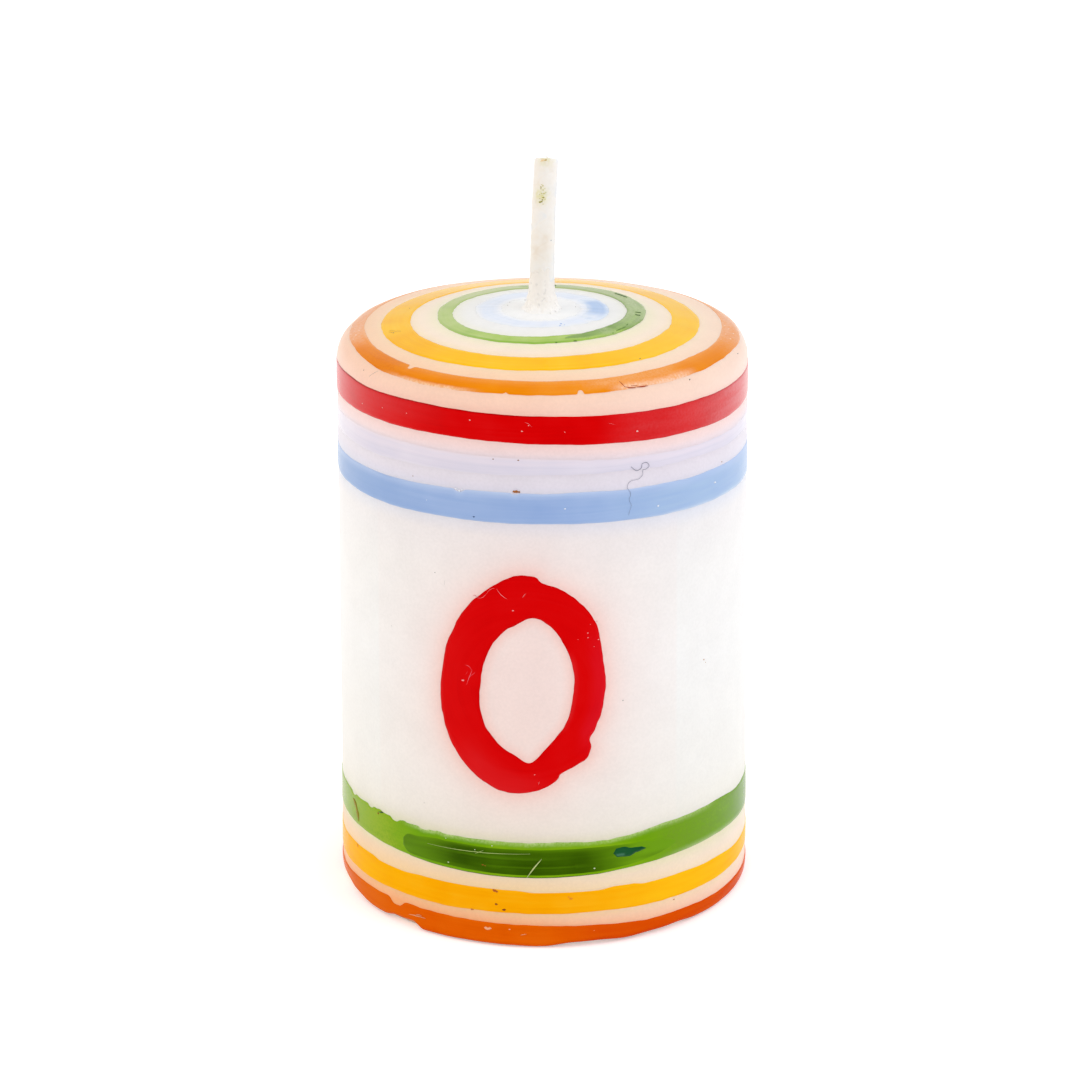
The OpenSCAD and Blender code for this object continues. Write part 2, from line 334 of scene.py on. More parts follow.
# Distance from a centre to a closed line, in evenly spread directions
def reachAround(line, centre, steps):
    polar = sorted((math.atan2(s.y - centre[1], s.x - centre[0]), (s - Vector(centre)).length)
                   for s in line)
    angles = [a for a, reach in polar]
    reaches = [reach for a, reach in polar]
    wanted = [2 * math.pi * k / steps - math.pi for k in range(steps)]
    return wanted, np.interp(wanted, angles, reaches, period=2 * math.pi)


# All the bands sway alike round the wall, as the candle was turned under the brush: mm above the front
swayOnce, swayTwice, swayLevel = (0.2, 2.6), (0.22, 2.0), -0.3


def handSway(turn):
    a = math.radians(turn)
    return swayOnce[0] * math.sin(a + swayOnce[1]) + swayTwice[0] * math.sin(2 * a + swayTwice[1]) + swayLevel


# White body, lathed round a closed section with the wick's hole and the pocket of its tab
whiteBody = {
    "segments": 360,
    "wallStep": 0.4,
    "wickHoleR": 1.05,
    "neckPocketR": 1.45,
    "neckPocketTop": 4.0,
    "tabPocketR": 6.35,
    "tabPocketTop": 0.7,
    "baseRings": (3.0, 1.5),     # mm out from the pocket and in from the bevel, to shade the flat base well
    "haloReach": 0.9,      # mm that the painted glow of the numeral's red shows strongly into the white round it
    "haloWide": 5,         # times that for its faint outer glow
    "haloLevels": (0.5, 0.3),    # strong and faint
    "haloInside": 0.42,    # at least, in the numeral's hole
    "haloArc": 14,         # it ends this far round and between these levels
    "haloEnds": (8, 40),
    "haloSteps": 4,        # between two points of the numeral's outlines
    "haloColour": "#ffcabf",
    "leftWarm": "#fbb270",       # between the lowest bands the light from the left comes through yellow wax
    # Painted light: the white turns paler on the right, where more light falls
    "rightPale": "#fff2ea",
    "sideShift": 0.42,
    "sideTop": 7.6,        # mm up the wall that these tones reach
    "warmTop": 5.0,        # and below which the left is warmest
    "leftShares": (0.4, 0.9),
    "wallEnd": 40,         # above it lie the shoulder's tones
    "shoulderPale": (46, 54),    # mm along the section where painted light makes the right side paler too
    "shoulderShare": 0.8,
    "swayTop": 50,         # the tints follow the bands' sway up to here
    "swaySoft": 3,
    "bare": 62.0,          # mm along the section where the wax is bare white, as it is underneath
    # By mm along the section: painted glow, where light through the coloured wax tints the white beside it
    "tints": [
        (0.0, "#f0c8a4"), (1.9, "#ffb07c"), (2.6, "#ffc8a0"), (3.1, "#fdcf9c"), (5.1, "#fcdcac"),
        (5.6, "#fbddb4"), (6.3, "#f6dec0"), (6.8, "#eee2bc"), (9.3, "#dfe1bc"), (9.9, "#e8e5d0"),
        (10.5, "#efebe0"), (11.5, "#f4f0e8"), (14.0, "#f6f3ee"), (24.0, "#f8f6f4"), (33.0, "#f7f4f2"),
        (36.5, "#f3efef"), (37.8, "#e6e7f0"), (40.4, "#e2dfed"), (41.1, "#e9e2ec"), (41.6, "#e9e2eb"),
        (42.4, "#e7dee8"), (43.4, "#efdfe6"), (43.9, "#fae0df"), (44.7, "#fcd8d2"), (47.0, "#ffccba"),
        (48.0, "#ffd6c1"), (48.8, "#ffd3ba"), (50.7, "#fdd2ae"), (51.6, "#fdd6b4"), (52.4, "#fddcb4"),
        (54.7, "#fce5c6"), (55.6, "#fce8d4"), (56.9, "#f4ebcb"), (58.3, "#f0eedd"), (59.2, "#f1f0ec"),
        (61.0, "#f4f4f4"), (63.0, "#fafaf9"),
    ],
}


# Paraffin that set slowly: near-white, slightly see-through, softly clouded, with a satin face
def makeWaxMaterial(name, darkest, glow):
    material, tree = newMaterial(name)
    tint = addNode(tree, "Attribute", attribute_name="tint")
    # Soft clouding of a few mm where the wax set at different speeds
    where = addNode(tree, "Attribute", attribute_name="brushSpace")
    cloud = addNode(tree, "TexNoise", {"Vector": where.outputs["Vector"], "Scale": 0.35, "Detail": 4.0})
    clouding = addNode(tree, "MapRange", {"Value": cloud.outputs["Fac"], "From Min": 0.3, "From Max": 0.7,
                                          "To Min": darkest, "To Max": 1.0})
    # Crystals of a quarter of a millimetre, just paler than the wax between them
    crystal = addNode(tree, "TexNoise", {"Vector": where.outputs["Vector"], "Scale": 4.0, "Detail": 3.0})
    sparkle = addNode(tree, "MapRange", {"Value": crystal.outputs["Fac"], "From Min": 0.35, "From Max": 0.65,
                                         "To Min": darkest, "To Max": 1.0})
    depth = addNode(tree, "Math", {0: clouding.outputs["Result"], 1: sparkle.outputs["Result"]},
                    operation="MULTIPLY")
    shade = addNode(tree, "Mix", {"Factor": 1.0, 6: tint.outputs["Color"], 7: depth.outputs[0]},
                    data_type="RGBA", blend_type="MULTIPLY")
    # Fine dimples of a third of a millimetre, left by the mould
    dimple = addNode(tree, "TexNoise", {"Vector": where.outputs["Vector"], "Scale": 3.0, "Detail": 3.0})
    bump = addNode(tree, "Bump", {"Height": dimple.outputs["Fac"], "Strength": 0.25, "Distance": 0.03 * mm})
    wax = addNode(tree, "BsdfPrincipled", {
        "Base Color": shade.outputs[2], "Roughness": 0.35, "IOR": 1.43,
        "Specular Tint": toLinear("#606060"), "Subsurface Weight": glow,
        "Subsurface Radius": (0.64, 0.62, 0.6), "Subsurface Scale": 1.2 * mm,
        "Normal": bump.outputs["Normal"],
    })
    addNode(tree, "OutputMaterial", {"Surface": wax.outputs["BSDF"]})
    return material


# How strongly the painted glow of the numeral's red shows in the white at each spot
def haloAt(spots, body):
    centre, wholeTurn = numeral["centre"], 2 * math.pi
    inner = smoothLoop(numeral["inner"], body["haloSteps"])
    outer = smoothLoop(numeral["outer"], body["haloSteps"])
    outlines = np.array([tuple(s) for s in outer + inner])
    angles, holeReach = reachAround(inner, centre, numeral["steps"])
    glow = []
    for p, turn in spots:
        arc = math.radians(turn) * numeral["wallR"]
        if abs(arc) > body["haloArc"] or not body["haloEnds"][0] < p < body["haloEnds"][1]:
            glow.append(0.0)
            continue
        gap = float(np.sqrt(((outlines - (arc, p)) ** 2).sum(1).min()))
        strong, faint = body["haloLevels"]
        level = (strong * math.exp(-gap / body["haloReach"])
                 + faint * math.exp(-gap / (body["haloWide"] * body["haloReach"])))
        across, up = arc - centre[0], p - centre[1]
        if math.hypot(across, up) < np.interp(math.atan2(up, across), angles, holeReach, period=wholeTurn):
            level = max(level, body["haloInside"])
        glow.append(level)
    return glow


# Painted light on the white: how far it turns towards its pale tone on the right, or below zero towards its
# warm tone on the left
def sideLightAt(p, turn, body):
    across = math.sin(math.radians(turn))
    start, end = body["shoulderPale"]
    low = easeStep((body["sideTop"] - p) / 2)
    if p > body["wallEnd"]:
        return (body["shoulderShare"] * body["sideShift"] * easeStep(p - start) * easeStep((end - p) / 2)
                * max(across, 0))
    if across < 0:
        pale, warm = body["leftShares"]
        return body["sideShift"] * (pale * low + warm * easeStep((body["warmTop"] - p) / 2)) * across
    return body["sideShift"] * low * across


def makeWhiteBody(body):
    wallTop, bevel, baseR = topP(body["wickHoleR"]), section["bevel"], section["baseR"]
    rises = int((wallTop - bevel) / body["wallStep"])
    climb = [bevel + (wallTop - bevel) * i / rises for i in range(rises + 1)]
    outward, inward = body["baseRings"]
    flats = [
        (body["wickHoleR"], body["neckPocketTop"]), (body["neckPocketR"], body["neckPocketTop"]),
        (body["neckPocketR"], body["tabPocketTop"]), (body["tabPocketR"], body["tabPocketTop"]),
        (body["tabPocketR"], 0.0), (body["tabPocketR"] + outward, 0.0), (baseR - bevel - inward, 0.0),
        (baseR - bevel, 0.0),
    ]
    loops, spaces, spots = [], [], []
    for i in range(body["segments"]):
        turn = 360 * i / body["segments"] - 180
        loops.append([turned(r, turn, z) * mm for r, z in flats] + [onCandle(p, turn) for p in climb])
        spots += [(body["bare"], turn)] * (len(flats) - 1) + [(0.0, turn)] + [(p, turn) for p in climb]
        spaces += [turned(r, turn, 0) for r, z in flats] + [brushSpace(p, turn) for p in climb]
    verts, faces = loopMesh(loops)
    levels = [p for p, colour in body["tints"]]
    tones = np.array([toLinear(colour) for p, colour in body["tints"]])
    # The tints are painted glow from the coloured wax, and they follow the bands' sway
    follow = [p - handSway(turn) * easeStep((body["swayTop"] - p) / body["swaySoft"]) for p, turn in spots]
    tints = np.stack([np.interp(follow, levels, tones[:, k]) for k in range(4)], 1)
    # Painted light: the white is paler on the right and warmer on the left
    side = np.array([sideLightAt(p, turn, body) for p, turn in spots])[:, None]
    shift = np.where(side < 0, toLinear(body["leftWarm"]), toLinear(body["rightPale"]))
    tints = tints * (1 - abs(side)) + shift * abs(side)
    # Painted glow of the numeral's red in the white round it, and in its hole
    glow = np.array(haloAt(spots, body))[:, None]
    tints = tints * (1 - glow) + np.array(toLinear(body["haloColour"])) * glow
    makePiece("white_wax_body", verts, faces, waxMaterial, ["wax_body"],
              {"tint": tints, "brushSpace": spaces})


waxMaterial = makeWaxMaterial("poured paraffin wax", darkest=0.965, glow=0.3)
makeWhiteBody(whiteBody)
print("white body poured")


# Edge of a band by turn: its level in mm, slow sways of the hand, ragged bristle marks and chips
def edgeLine(level, sway=(), ragged=0.03, seed=0, chips=()):
    fine, coarse, coarseShare = 15, 4, 1.5

    def levelAt(turn):
        a = math.radians(turn)
        p = level + sum(size * math.sin(waves * a + math.radians(phase)) for waves, size, phase in sway)
        p += ragged * roundNoise(turn, fine, seed)
        p += coarseShare * ragged * roundNoise(turn, coarse, seed + 5)
        for chipTurn, halfTurn, depth in chips:
            off = (turn - chipTurn + 180) % 360 - 180
            p += depth * math.exp(-(off / halfTurn) ** 4)
        return p
    return levelAt


# Edge through given points of turn and level, eased from one to the next
def knotLine(knots):
    def levelAt(turn):
        for (turn0, p0), (turn1, p1) in zip(knots, knots[1:] + [(knots[0][0] + 360, knots[0][1])]):
            share = (turn - turn0) % 360 / (turn1 - turn0)
            if share <= 1:
                return p0 + (p1 - p0) * (0.5 - 0.5 * math.cos(math.pi * share))
    return levelAt


# What all the coats share, in mm unless noted
brushed = {
    "across": 18,          # points across one
    "step": 0.5,           # degrees round the candle
    "under": -0.08,        # its hidden underside, in the wax
    "underSteps": 6,
    "sink": 0.015,         # its edges lie this deep
    "relief": 0.18,        # height of the bristle marks, in shares of the lift
    "reliefRim": 0.3,      # they start this far in
    "rimPower": 1.5,       # of the rounded rim's shape
    "markLength": 12,
    "marks": 4,            # to a millimetre
    "narrowest": 0.03,     # a stroke's ends, in shares of its width
    "patchy": 0.5,         # how unevenly its worn places and its places of painted light break up
    "patchLong": 3,
    "patches": 3,          # to a millimetre across
}


# Colour and strength of the worn places and the places of painted light and shade together, at a turn
# and a share of the way across
def wearAndLightAt(places, turn, v, spot):
    tone, amount = np.zeros(3), 0.0
    for turns, turnSoft, shares, soft, colour, strength in places:
        half = (turns[1] - turns[0]) / 2
        off = abs((turn - turns[0] - half + 180) % 360 - 180)
        level = strength * easeStep((half - off) / turnSoft + 0.5) if half < 180 else strength
        level *= easeStep((v - shares[0]) / soft + 0.5) * easeStep((shares[1] - v) / soft + 0.5)
        if level > 0:
            drawn = Vector((spot.x / brushed["patchLong"], spot.y / brushed["patchLong"],
                            spot.z * brushed["patches"]))
            level = min(max(level * (1 + brushed["patchy"] * noise.noise(drawn)), 0), 1)
            tone = tone * (1 - level) + np.array(toLinear(colour)[:3]) * level
            amount = amount * (1 - level) + level
    return [*(tone / max(amount, 0.001)), amount]


# Height of a coat at a distance from its edge, in shares of its thickness
def rimShape(gap, rim):
    return math.sin(math.pi / 2 * min(gap / rim, 1.0)) ** brushed["rimPower"]


# Half width of a stroke's round end, at a share of its length
def roundEnd(share):
    return math.sqrt(max(1 - (1 - min(share, 1)) ** 2, 0))


# Share of the way across a coat at a point of its loop, which runs over the top and back underneath
def shareAcross(k, across):
    if k <= across:
        return 0.5 - 0.5 * math.cos(math.pi * k / across)
    return 1 - (k - across) / brushed["underSteps"]


# A coat of brushed wax between two edges, right round the candle or from one turn to another
def layCoat(name, coat, material, nodes):
    across, long = brushed["across"], brushed["markLength"]
    start, end = coat.get("turns", allRound)
    whole = end - start == 360
    steps = int((end - start) / coat.get("step", brushed["step"]))
    loops, spaces, wearsAndLight = [], [], []
    for i in range(steps if whole else steps + 1):
        share = i / steps
        turn = start + (end - start) * share
        bottom, top = coat["low"](turn), coat["high"](turn)
        if not whole:
            # A brush stroke swells from a round start and thins to its end
            swell = min(roundEnd(share / coat["startRound"]), roundEnd((1 - share) / coat["endRound"]))
            swell, middle = max(swell, brushed["narrowest"]), (bottom + top) / 2
            bottom, top = (middle + (edge - middle) * swell for edge in (bottom, top))
        loop = []
        for k in range(across + brushed["underSteps"]):
            v = shareAcross(k, across)
            p = bottom + (top - bottom) * v
            spot = brushSpace(p, turn)
            lift = brushed["under"]
            if k <= across:
                gap = min(v, 1 - v) * (top - bottom)
                mark = noise.noise(Vector((spot.x / long, spot.y / long, p * brushed["marks"])))
                relief = brushed["relief"] * mark * min(gap / brushed["reliefRim"], 1)
                lift = coat["lift"] * (rimShape(gap, coat["rim"]) + relief) - brushed["sink"]
            loop.append(onCandle(p, turn, coat.get("over", 0) + lift))
            spaces.append(spot)
            wearsAndLight.append(wearAndLightAt(coat.get("wearAndLight", ()), turn, v, spot))
        loops.append(loop)
    verts, faces = loopMesh(loops, whole)
    makePiece(name, verts, faces, material, nodes, {"brushSpace": spaces, "wearAndLight": wearsAndLight})


# Pigmented wax, melted and brushed on: streaked along the stroke, weaker where the brush ran dry, and
# with a satin gloss that hardly shows face on and turns pale at the sides
def makeBrushedWax(name, thin, full, deep, rough=0.22, shine=0.5, speckle=0.0):
    material, tree = newMaterial(name)
    where = addNode(tree, "Attribute", attribute_name="brushSpace")
    # Bristle streaks a quarter of a millimetre apart, drawn out some 10 mm along the stroke
    drawn = addNode(tree, "Mapping", {"Vector": where.outputs["Vector"], "Scale": (0.1, 0.1, 4.0)})
    bristles = addNode(tree, "TexNoise", {"Vector": drawn.outputs["Vector"], "Scale": 1.0, "Detail": 3.0})
    # Patches of 3 to 4 mm where more or less wax stayed behind
    patch = addNode(tree, "TexNoise", {"Vector": where.outputs["Vector"], "Scale": 0.28, "Detail": 2.0})
    load = addNode(tree, "Math", {0: bristles.outputs["Fac"], 1: 0.6, 2: patch.outputs["Fac"]},
                   operation="MULTIPLY_ADD")
    spread = addNode(tree, "MapRange", {"Value": load.outputs[0], "From Min": 0.45, "From Max": 1.15})
    colour = fillRamp(addNode(tree, "ValToRGB", {"Fac": spread.outputs["Result"]}),
                      [(0.0, thin), (0.5, full), (1.0, deep)])
    wearAndLight = addNode(tree, "Attribute", attribute_name="wearAndLight")
    # A worn place breaks up into specks of a fifth of a millimetre, as a dry brush leaves them, and so do the
    # places of painted light and shade
    grain = addNode(tree, "TexNoise", {"Vector": where.outputs["Vector"], "Scale": 5.0, "Detail": 2.0})
    speck = addNode(tree, "MapRange", {"Value": grain.outputs["Fac"], "From Min": 0.35, "From Max": 0.65,
                                       "To Min": 1 - speckle, "To Max": 1 + speckle}, clamp=False)
    bare = addNode(tree, "Math", {0: wearAndLight.outputs["Alpha"], 1: speck.outputs["Result"]},
                   operation="MULTIPLY", use_clamp=True)
    faded = addNode(tree, "Mix", {"Factor": bare.outputs[0], 6: colour.outputs["Color"],
                                 7: wearAndLight.outputs["Color"]}, data_type="RGBA")
    relief = addNode(tree, "Math", {0: grain.outputs["Fac"], 1: 0.3, 2: bristles.outputs["Fac"]},
                     operation="MULTIPLY_ADD")
    bump = addNode(tree, "Bump", {"Height": relief.outputs[0], "Strength": 0.25, "Distance": 0.04 * mm})
    wax = addNode(tree, "BsdfPrincipled", {
        "Base Color": faded.outputs[2], "Roughness": rough, "IOR": 1.43, "Specular IOR Level": shine,
        "Specular Tint": toLinear("#181818"), "Normal": bump.outputs["Normal"],
    })
    addNode(tree, "OutputMaterial", {"Surface": wax.outputs["BSDF"]})
    return material


# Rings and bands, from the wick out and down: levels in mm along the section, turns in degrees from the front
topBlue = {
    "coat": {
        "low": edgeLine(topP(5.75), [(1, 0.4, 76)], 0.1, 1),
        "high": edgeLine(topP(3.1), [(1, 0.1, 10)], 0.1, 2), "lift": 0.03, "rim": 0.5,
        "wearAndLight": [lower(0.16, 0.4, "#efeff0", 1), upper(0.8, 0.4, "#f7f6f6", 1)],
    },
    "paint": {"thin": "#e9eef8", "full": "#e3eaf7", "deep": "#d8e3f5"},
}
topBlueDab = {
    "coat": {
        "low": edgeLine(topP(5.75), [(1, 0.1, 0)], 0.05, 3), "high": edgeLine(topP(3.7), (), 0.05, 4),
        "turns": (58, 138), "startRound": 0.2, "endRound": 0.05, "over": 0.02, "lift": 0.035, "rim": 0.3,
        "wearAndLight": [
            wornAndLit((40, 78), 30, "#e1e9f6", 1), wornAndLit((126, 160), 16, "#dfe8f6", 1),
            lower(0.1, 0.36, "#dde7f5", 1), upper(0.85, 0.4, "#e4ebf6", 1),
        ],
    },
    "paint": {"thin": "#bdd1ef", "full": "#afc8ec", "deep": "#a3bfe9"},
}
greenRingLow = [(1, 0.33, 69), (2, 0.17, -35)]
greenRingHigh = [(1, 0.23, 38), (2, 0.17, 17)]
topGreen = {
    "coat": {
        "low": edgeLine(topP(8.86), greenRingLow, 0.05, 5),
        "high": edgeLine(topP(7.23), greenRingHigh, 0.05, 6), "lift": 0.06, "rim": 0.18,
        "wearAndLight": [
            streak((0.05, 0.22), 0.1, "#7fae34", 0.8, (-70, 25), 30), upper(0.9, 0.1, "#86b23c", 0.6),
            wornAndLit((110, 250), 50, "#b6bd84", 0.7), wornAndLit((-150, -40), 60, "#c0ca8c", 0.5),
            lower(0.06, 0.2, "#8fa66a", 0.7, (110, 250), 40),
            upper(0.94, 0.2, "#8aa262", 0.7, (110, 250), 40),
        ],
    },
    "paint": {"thin": "#b6cc72", "full": "#a4c454", "deep": "#90b83e"},
}
topGreenSecond = {
    "coat": {
        "low": edgeLine(topP(8.88), greenRingLow, 0.05, 5),
        "high": edgeLine(topP(7.22), greenRingHigh, 0.05, 6), "turns": (20, 200), "startRound": 0.16,
        "endRound": 0.5, "over": 0.03, "lift": 0.05, "rim": 0.15,
        "wearAndLight": [
            wornAndLit((120, 230), 50, "#aebb82", 0.8), wornAndLit((76, 130), 40, "#b0c088", 0.7),
            lower(0.3, 0.3, "#a4c456", 0.9, (16, 60), 12),
            streak((0.35, 0.6), 0.2, "#9cbc66", 0.4, (40, 100), 20), wornAndLit((46, 56), 6, "#a8bc80", 0.5),
            lower(0.06, 0.2, "#8fa66a", 0.7, (120, 250), 40),
            upper(0.94, 0.1, "#5f8a34", 0.7, (20, 80), 20),
            upper(0.94, 0.16, "#86a05e", 0.7, (80, 250), 30),
        ],
    },
    "paint": {"thin": "#94b25c", "full": "#80a24a", "deep": "#688a38", "speckle": 0.4},
}
topYellow = {
    "coat": {
        "low": edgeLine(topP(13.42), [(1, 0.17, -35), (2, 0.05, 70)], 0.05, 9),
        "high": edgeLine(topP(10.86), [(1, 0.25, -79), (2, 0.14, 39)], 0.05, 10), "lift": 0.06, "rim": 0.2,
        "wearAndLight": [
            # The paler places on the right are painted sheen
            wornAndLit((-66, -38), 12, "#f7ae00", 0.5), lower(0.04, 0.1, "#fdd470", 0.4, (40, 120), 30),
            wornAndLit((40, 120), 30, "#fdcc3a", 0.4), wornAndLit((130, 230), 50, "#fbd07e", 0.35),
        ],
    },
    "paint": {"thin": "#fdc820", "full": "#fcc006", "deep": "#f9b602", "shine": 0.2},
}
shoulderOrange = {
    "coat": {
        "low": edgeLine(48.8, (), 0.06, 11, [
            (-4, 0.5, 0.14), (17, 0.8, 0.42), (36, 5, 0.12), (-80, 28, 0.5), (74, 12, 0.12),
            (180, 70, -0.4),
        ]),
        "high": edgeLine(50.62, (), 0.04, 12, [
            (-38.3, 1.1, -0.55), (-66, 20, 0.18), (52, 16, 0.14), (180, 66, -1.1),
        ]),
        "lift": 0.06, "rim": 0.16,
        "wearAndLight": [
            lower(0.12, 0.24, "#fbcfa8", 0.9, (-42, -16), 14),
            lower(0.3, 0.4, "#fbcbaa", 0.85, (28, 54), 8),
            streak((0.3, 1.2), 0.5, "#f3a864", 0.7, (20, 48), 12), wornAndLit((4, 22), 10, "#f2a458", 0.12),
            upper(0.72, 0.5, "#f0a050", 0.5), wornAndLit((-62, -38), 14, "#dc7204", 0.5),
            wornAndLit((-114, -72), 14, "#f2bc96", 0.5), lower(0.7, 0.5, "#e88a2c", 0.4, (54, 84), 16),
            wornAndLit((84, 284), 30, "#efb48e", 0.75), upper(0.96, 0.16, "#f6b880", 0.6),
        ],
    },
    "paint": {"thin": "#f2961a", "full": "#ee8a08", "deep": "#e67f04", "shine": 0.12, "speckle": 0.3},
}
redBand = {
    "coat": {
        "low": edgeLine(44.38, [(1, 0.22, 153), (2, 0.27, 128)], 0.03, 13),
        "high": edgeLine(46.94, [(1, 0.19, 156), (2, 0.15, 136)], 0.03, 14, [
            (-66, 14, 0.08), (-30, 16, 0.06),
        ]),
        "lift": 0.06, "rim": 0.16,
        "wearAndLight": [
            # The paler red places on the sides are painted sheen; the thin dark lines along the top and
            # bottom edges are painted shade
            wornAndLit((27, 50), 14, "#d84448", 0.3), wornAndLit((54, 140), 56, "#dc5458", 0.42),
            wornAndLit((62, 140), 40, "#e0868a", 0.36), wornAndLit((-120, -50), 40, "#d84448", 0.25),
            upper(0.4, 0.6, "#cc4046", 0.2, (-90, -28), 24),
            upper(0.96, 0.06, "#7c080e", 0.65, (-90, 6), 12),
            upper(0.97, 0.06, "#a4303a", 0.6, (30, 90), 20), lower(0.02, 0.05, "#a00a12", 0.6),
        ],
    },
    "paint": {"thin": "#dc0c0e", "full": "#d90103", "deep": "#cf0002", "speckle": 0.2},
}
paleBlueBand = {
    "coat": {
        "low": edgeLine(41.45, [(1, 0.1, 100), (2, 0.24, 81)], 0.06, 15),
        "high": edgeLine(43.36, [(1, 0.22, 153), (2, 0.26, 128)], 0.06, 16), "lift": 0.025, "rim": 0.5,
        "wearAndLight": [
            # Its pink upper edge is painted glow of the red band above
            lower(0.1, 0.2, "#ebe6ee", 1), upper(0.9, 0.45, "#f8e2e2", 1),
            streak((0.55, 0.75), 0.2, "#ece0ea", 0.5, allRound, 1),
        ],
    },
    "paint": {"thin": "#e6dfeb", "full": "#e0d9e7", "deep": "#dad5e5"},
}
blueBand = {
    "coat": {
        "low": edgeLine(37.51, [(1, 0.25, 157), (2, 0.2, 75)], 0.03, 17),
        "high": edgeLine(40.18, [(1, 0.1, 100), (2, 0.26, 81)], 0.04, 18, [
            (-16.8, 1.4, -0.22), (-1.2, 1.0, -0.1),
        ]),
        "lift": 0.055, "rim": 0.2,
        "wearAndLight": [
            # Paler on the right and darker on the left: painted light and painted shade
            wornAndLit((30, 120), 40, "#a9c2e2", 0.75), wornAndLit((-150, -40), 50, "#92add7", 0.65),
            upper(0.84, 0.36, "#b6c8ea", 0.75), upper(0.95, 0.14, "#c3d0ec", 0.7, (-30, 40), 20),
            lower(0.02, 0.14, "#bfd0ee", 0.8), lower(0.06, 0.2, "#d2def0", 0.8, (40, 120), 20),
        ],
    },
    "paint": {"thin": "#a4bbe4", "full": "#9bb4e0", "deep": "#91acdc", "shine": 0.15},
}
greenLow = [(1, 0.09, 125), (2, 0.08, 61), (3, 0.32, -93)]
greenBand = {
    "coat": {
        "low": edgeLine(6.52, greenLow, 0.03, 19),
        "high": edgeLine(9.62, [(1, 0.04, 180)], 0.07, 20, [
            (-50.6, 1.2, -0.22), (-46, 1, 0.1), (-39.5, 1.5, -0.26), (-36, 0.8, 0.08), (-29, 1.5, -0.16),
            (-24, 1, 0.08), (-61.5, 1.2, -0.2), (53, 20, 0.5),
        ]),
        "lift": 0.06, "rim": 0.18,
        "wearAndLight": [
            wornAndLit((-110, -38), 14, "#92b01e", 0.8), wornAndLit((40, 130), 16, "#70991f", 0.85),
            # The pale line along the top edge in front is a painted highlight
            upper(0.93, 0.2, "#b9cf86", 0.75, (-34, 60), 10),
            lower(0.06, 0.24, "#c2d29c", 0.7, (46, 120), 16), wornAndLit((76, 130), 18, "#62882f", 0.5),
            wornAndLit((-136, -76), 20, "#8a9f4c", 0.55),
        ],
    },
    "paint": {"thin": "#8ab41a", "full": "#75a60a", "deep": "#649a06", "shine": 0.18, "speckle": 0.4},
}
greenSecond = {
    "coat": {
        "low": edgeLine(6.54, greenLow, 0.02, 19), "high": edgeLine(9.24, (), 0.05, 22, [(-36, 8, -0.3)]),
        "turns": (-36.5, 46), "startRound": 0.04, "endRound": 0.3, "over": 0.02, "lift": 0.045, "rim": 0.3,
        "wearAndLight": [
            upper(0.9, 0.36, "#6c9c10", 1), wornAndLit((26, 70), 23, "#6c9c12", 1),
            wornAndLit((-40, -23), 12, "#628e0c", 0.75), lower(0.2, 0.2, "#557e0c", 0.6, (-30, -12), 14),
            streak((0.56, 0.66), 0.1, "#5d8a10", 0.5, (-20, 10), 16),
            streak((0.3, 0.36), 0.08, "#547e0a", 0.5, (-10, 16), 10),
        ],
    },
    "paint": {"thin": "#466e04", "full": "#385a02", "deep": "#2c4a00", "shine": 0.2},
}
greenDrop = {
    "coat": {
        "low": knotLine([(25.3, 8.1), (26.8, 7.79), (30.2, 7.7), (32.4, 7.94), (35.4, 8.1), (200, 8)]),
        "high": knotLine([
            (25.3, 8.3), (26.4, 8.66), (28.4, 8.7), (31, 8.48), (33.6, 8.42), (35.4, 8.22), (200, 8),
        ]),
        "turns": (25.3, 35.4), "step": 0.2, "startRound": 0.1, "endRound": 0.05, "over": 0.06, "lift": 0.06,
        "rim": 0.2, "wearAndLight": [streak((0.15, 0.4), 0.2, "#4f7f66", 0.6, (26.2, 28.6), 1)],
    },
    "paint": {"thin": "#1e5a34", "full": "#17502c", "deep": "#104524"},
}
yellowBand = {
    "coat": {
        "low": edgeLine(2.75, [(1, 0.15, 52), (2, 0.17, 110)], 0.04, 23),
        "high": knotLine([
            (-76, 4.85), (-60, 5.08), (-50, 5.16), (-46, 5.0), (-37, 5.03), (-29, 5.2), (-10, 5.22),
            (-2, 5.2), (4, 5.04), (21, 5.03), (26, 5.21), (31, 5.17), (35, 4.97), (46, 4.95), (60, 4.76),
            (78, 4.42), (130, 4.7), (190, 5.1), (240, 4.8),
        ]),
        "lift": 0.06, "rim": 0.18,
        "wearAndLight": [
            # The two lemon places on the sides are painted light: the sides are lighter than the front, where
            # less light falls
            upper(0.5, 0.5, "#f8c070", 0.5, (-120, -68), 12), wornAndLit((30, 140), 40, "#ffc216", 0.8),
            wornAndLit((-130, -36), 40, "#ffba00", 0.8),
        ],
    },
    "paint": {"thin": "#ffb71a", "full": "#feac04", "deep": "#faa200", "shine": 0.03},
}
bands = [
    ("top_blue_ring", topBlue, "pale_blue_wax"), ("top_blue_dab", topBlueDab, "blue_wax"),
    ("top_green_ring", topGreen, "green_wax"), ("top_green_second_coat", topGreenSecond, "green_wax"),
    ("top_yellow_ring", topYellow, "yellow_wax"), ("shoulder_orange_ring", shoulderOrange, "orange_wax"),
    ("red_band", redBand, "red_wax"), ("pale_blue_band", paleBlueBand, "pale_blue_wax"),
    ("blue_band", blueBand, "blue_wax"), ("green_band", greenBand, "green_wax"),
    ("green_second_coat", greenSecond, "dark_green_wax"), ("yellow_band", yellowBand, "yellow_wax"),
    ("green_drop", greenDrop, "dark_green_wax"),
]
for node, band, slot in bands:
    paint = makeBrushedWax("brushed wax " + node.replace("_", " "), **band["paint"])
    layCoat("brushed_" + node, band["coat"], paint, [node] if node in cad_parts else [])
print("bands brushed:", len(bands))


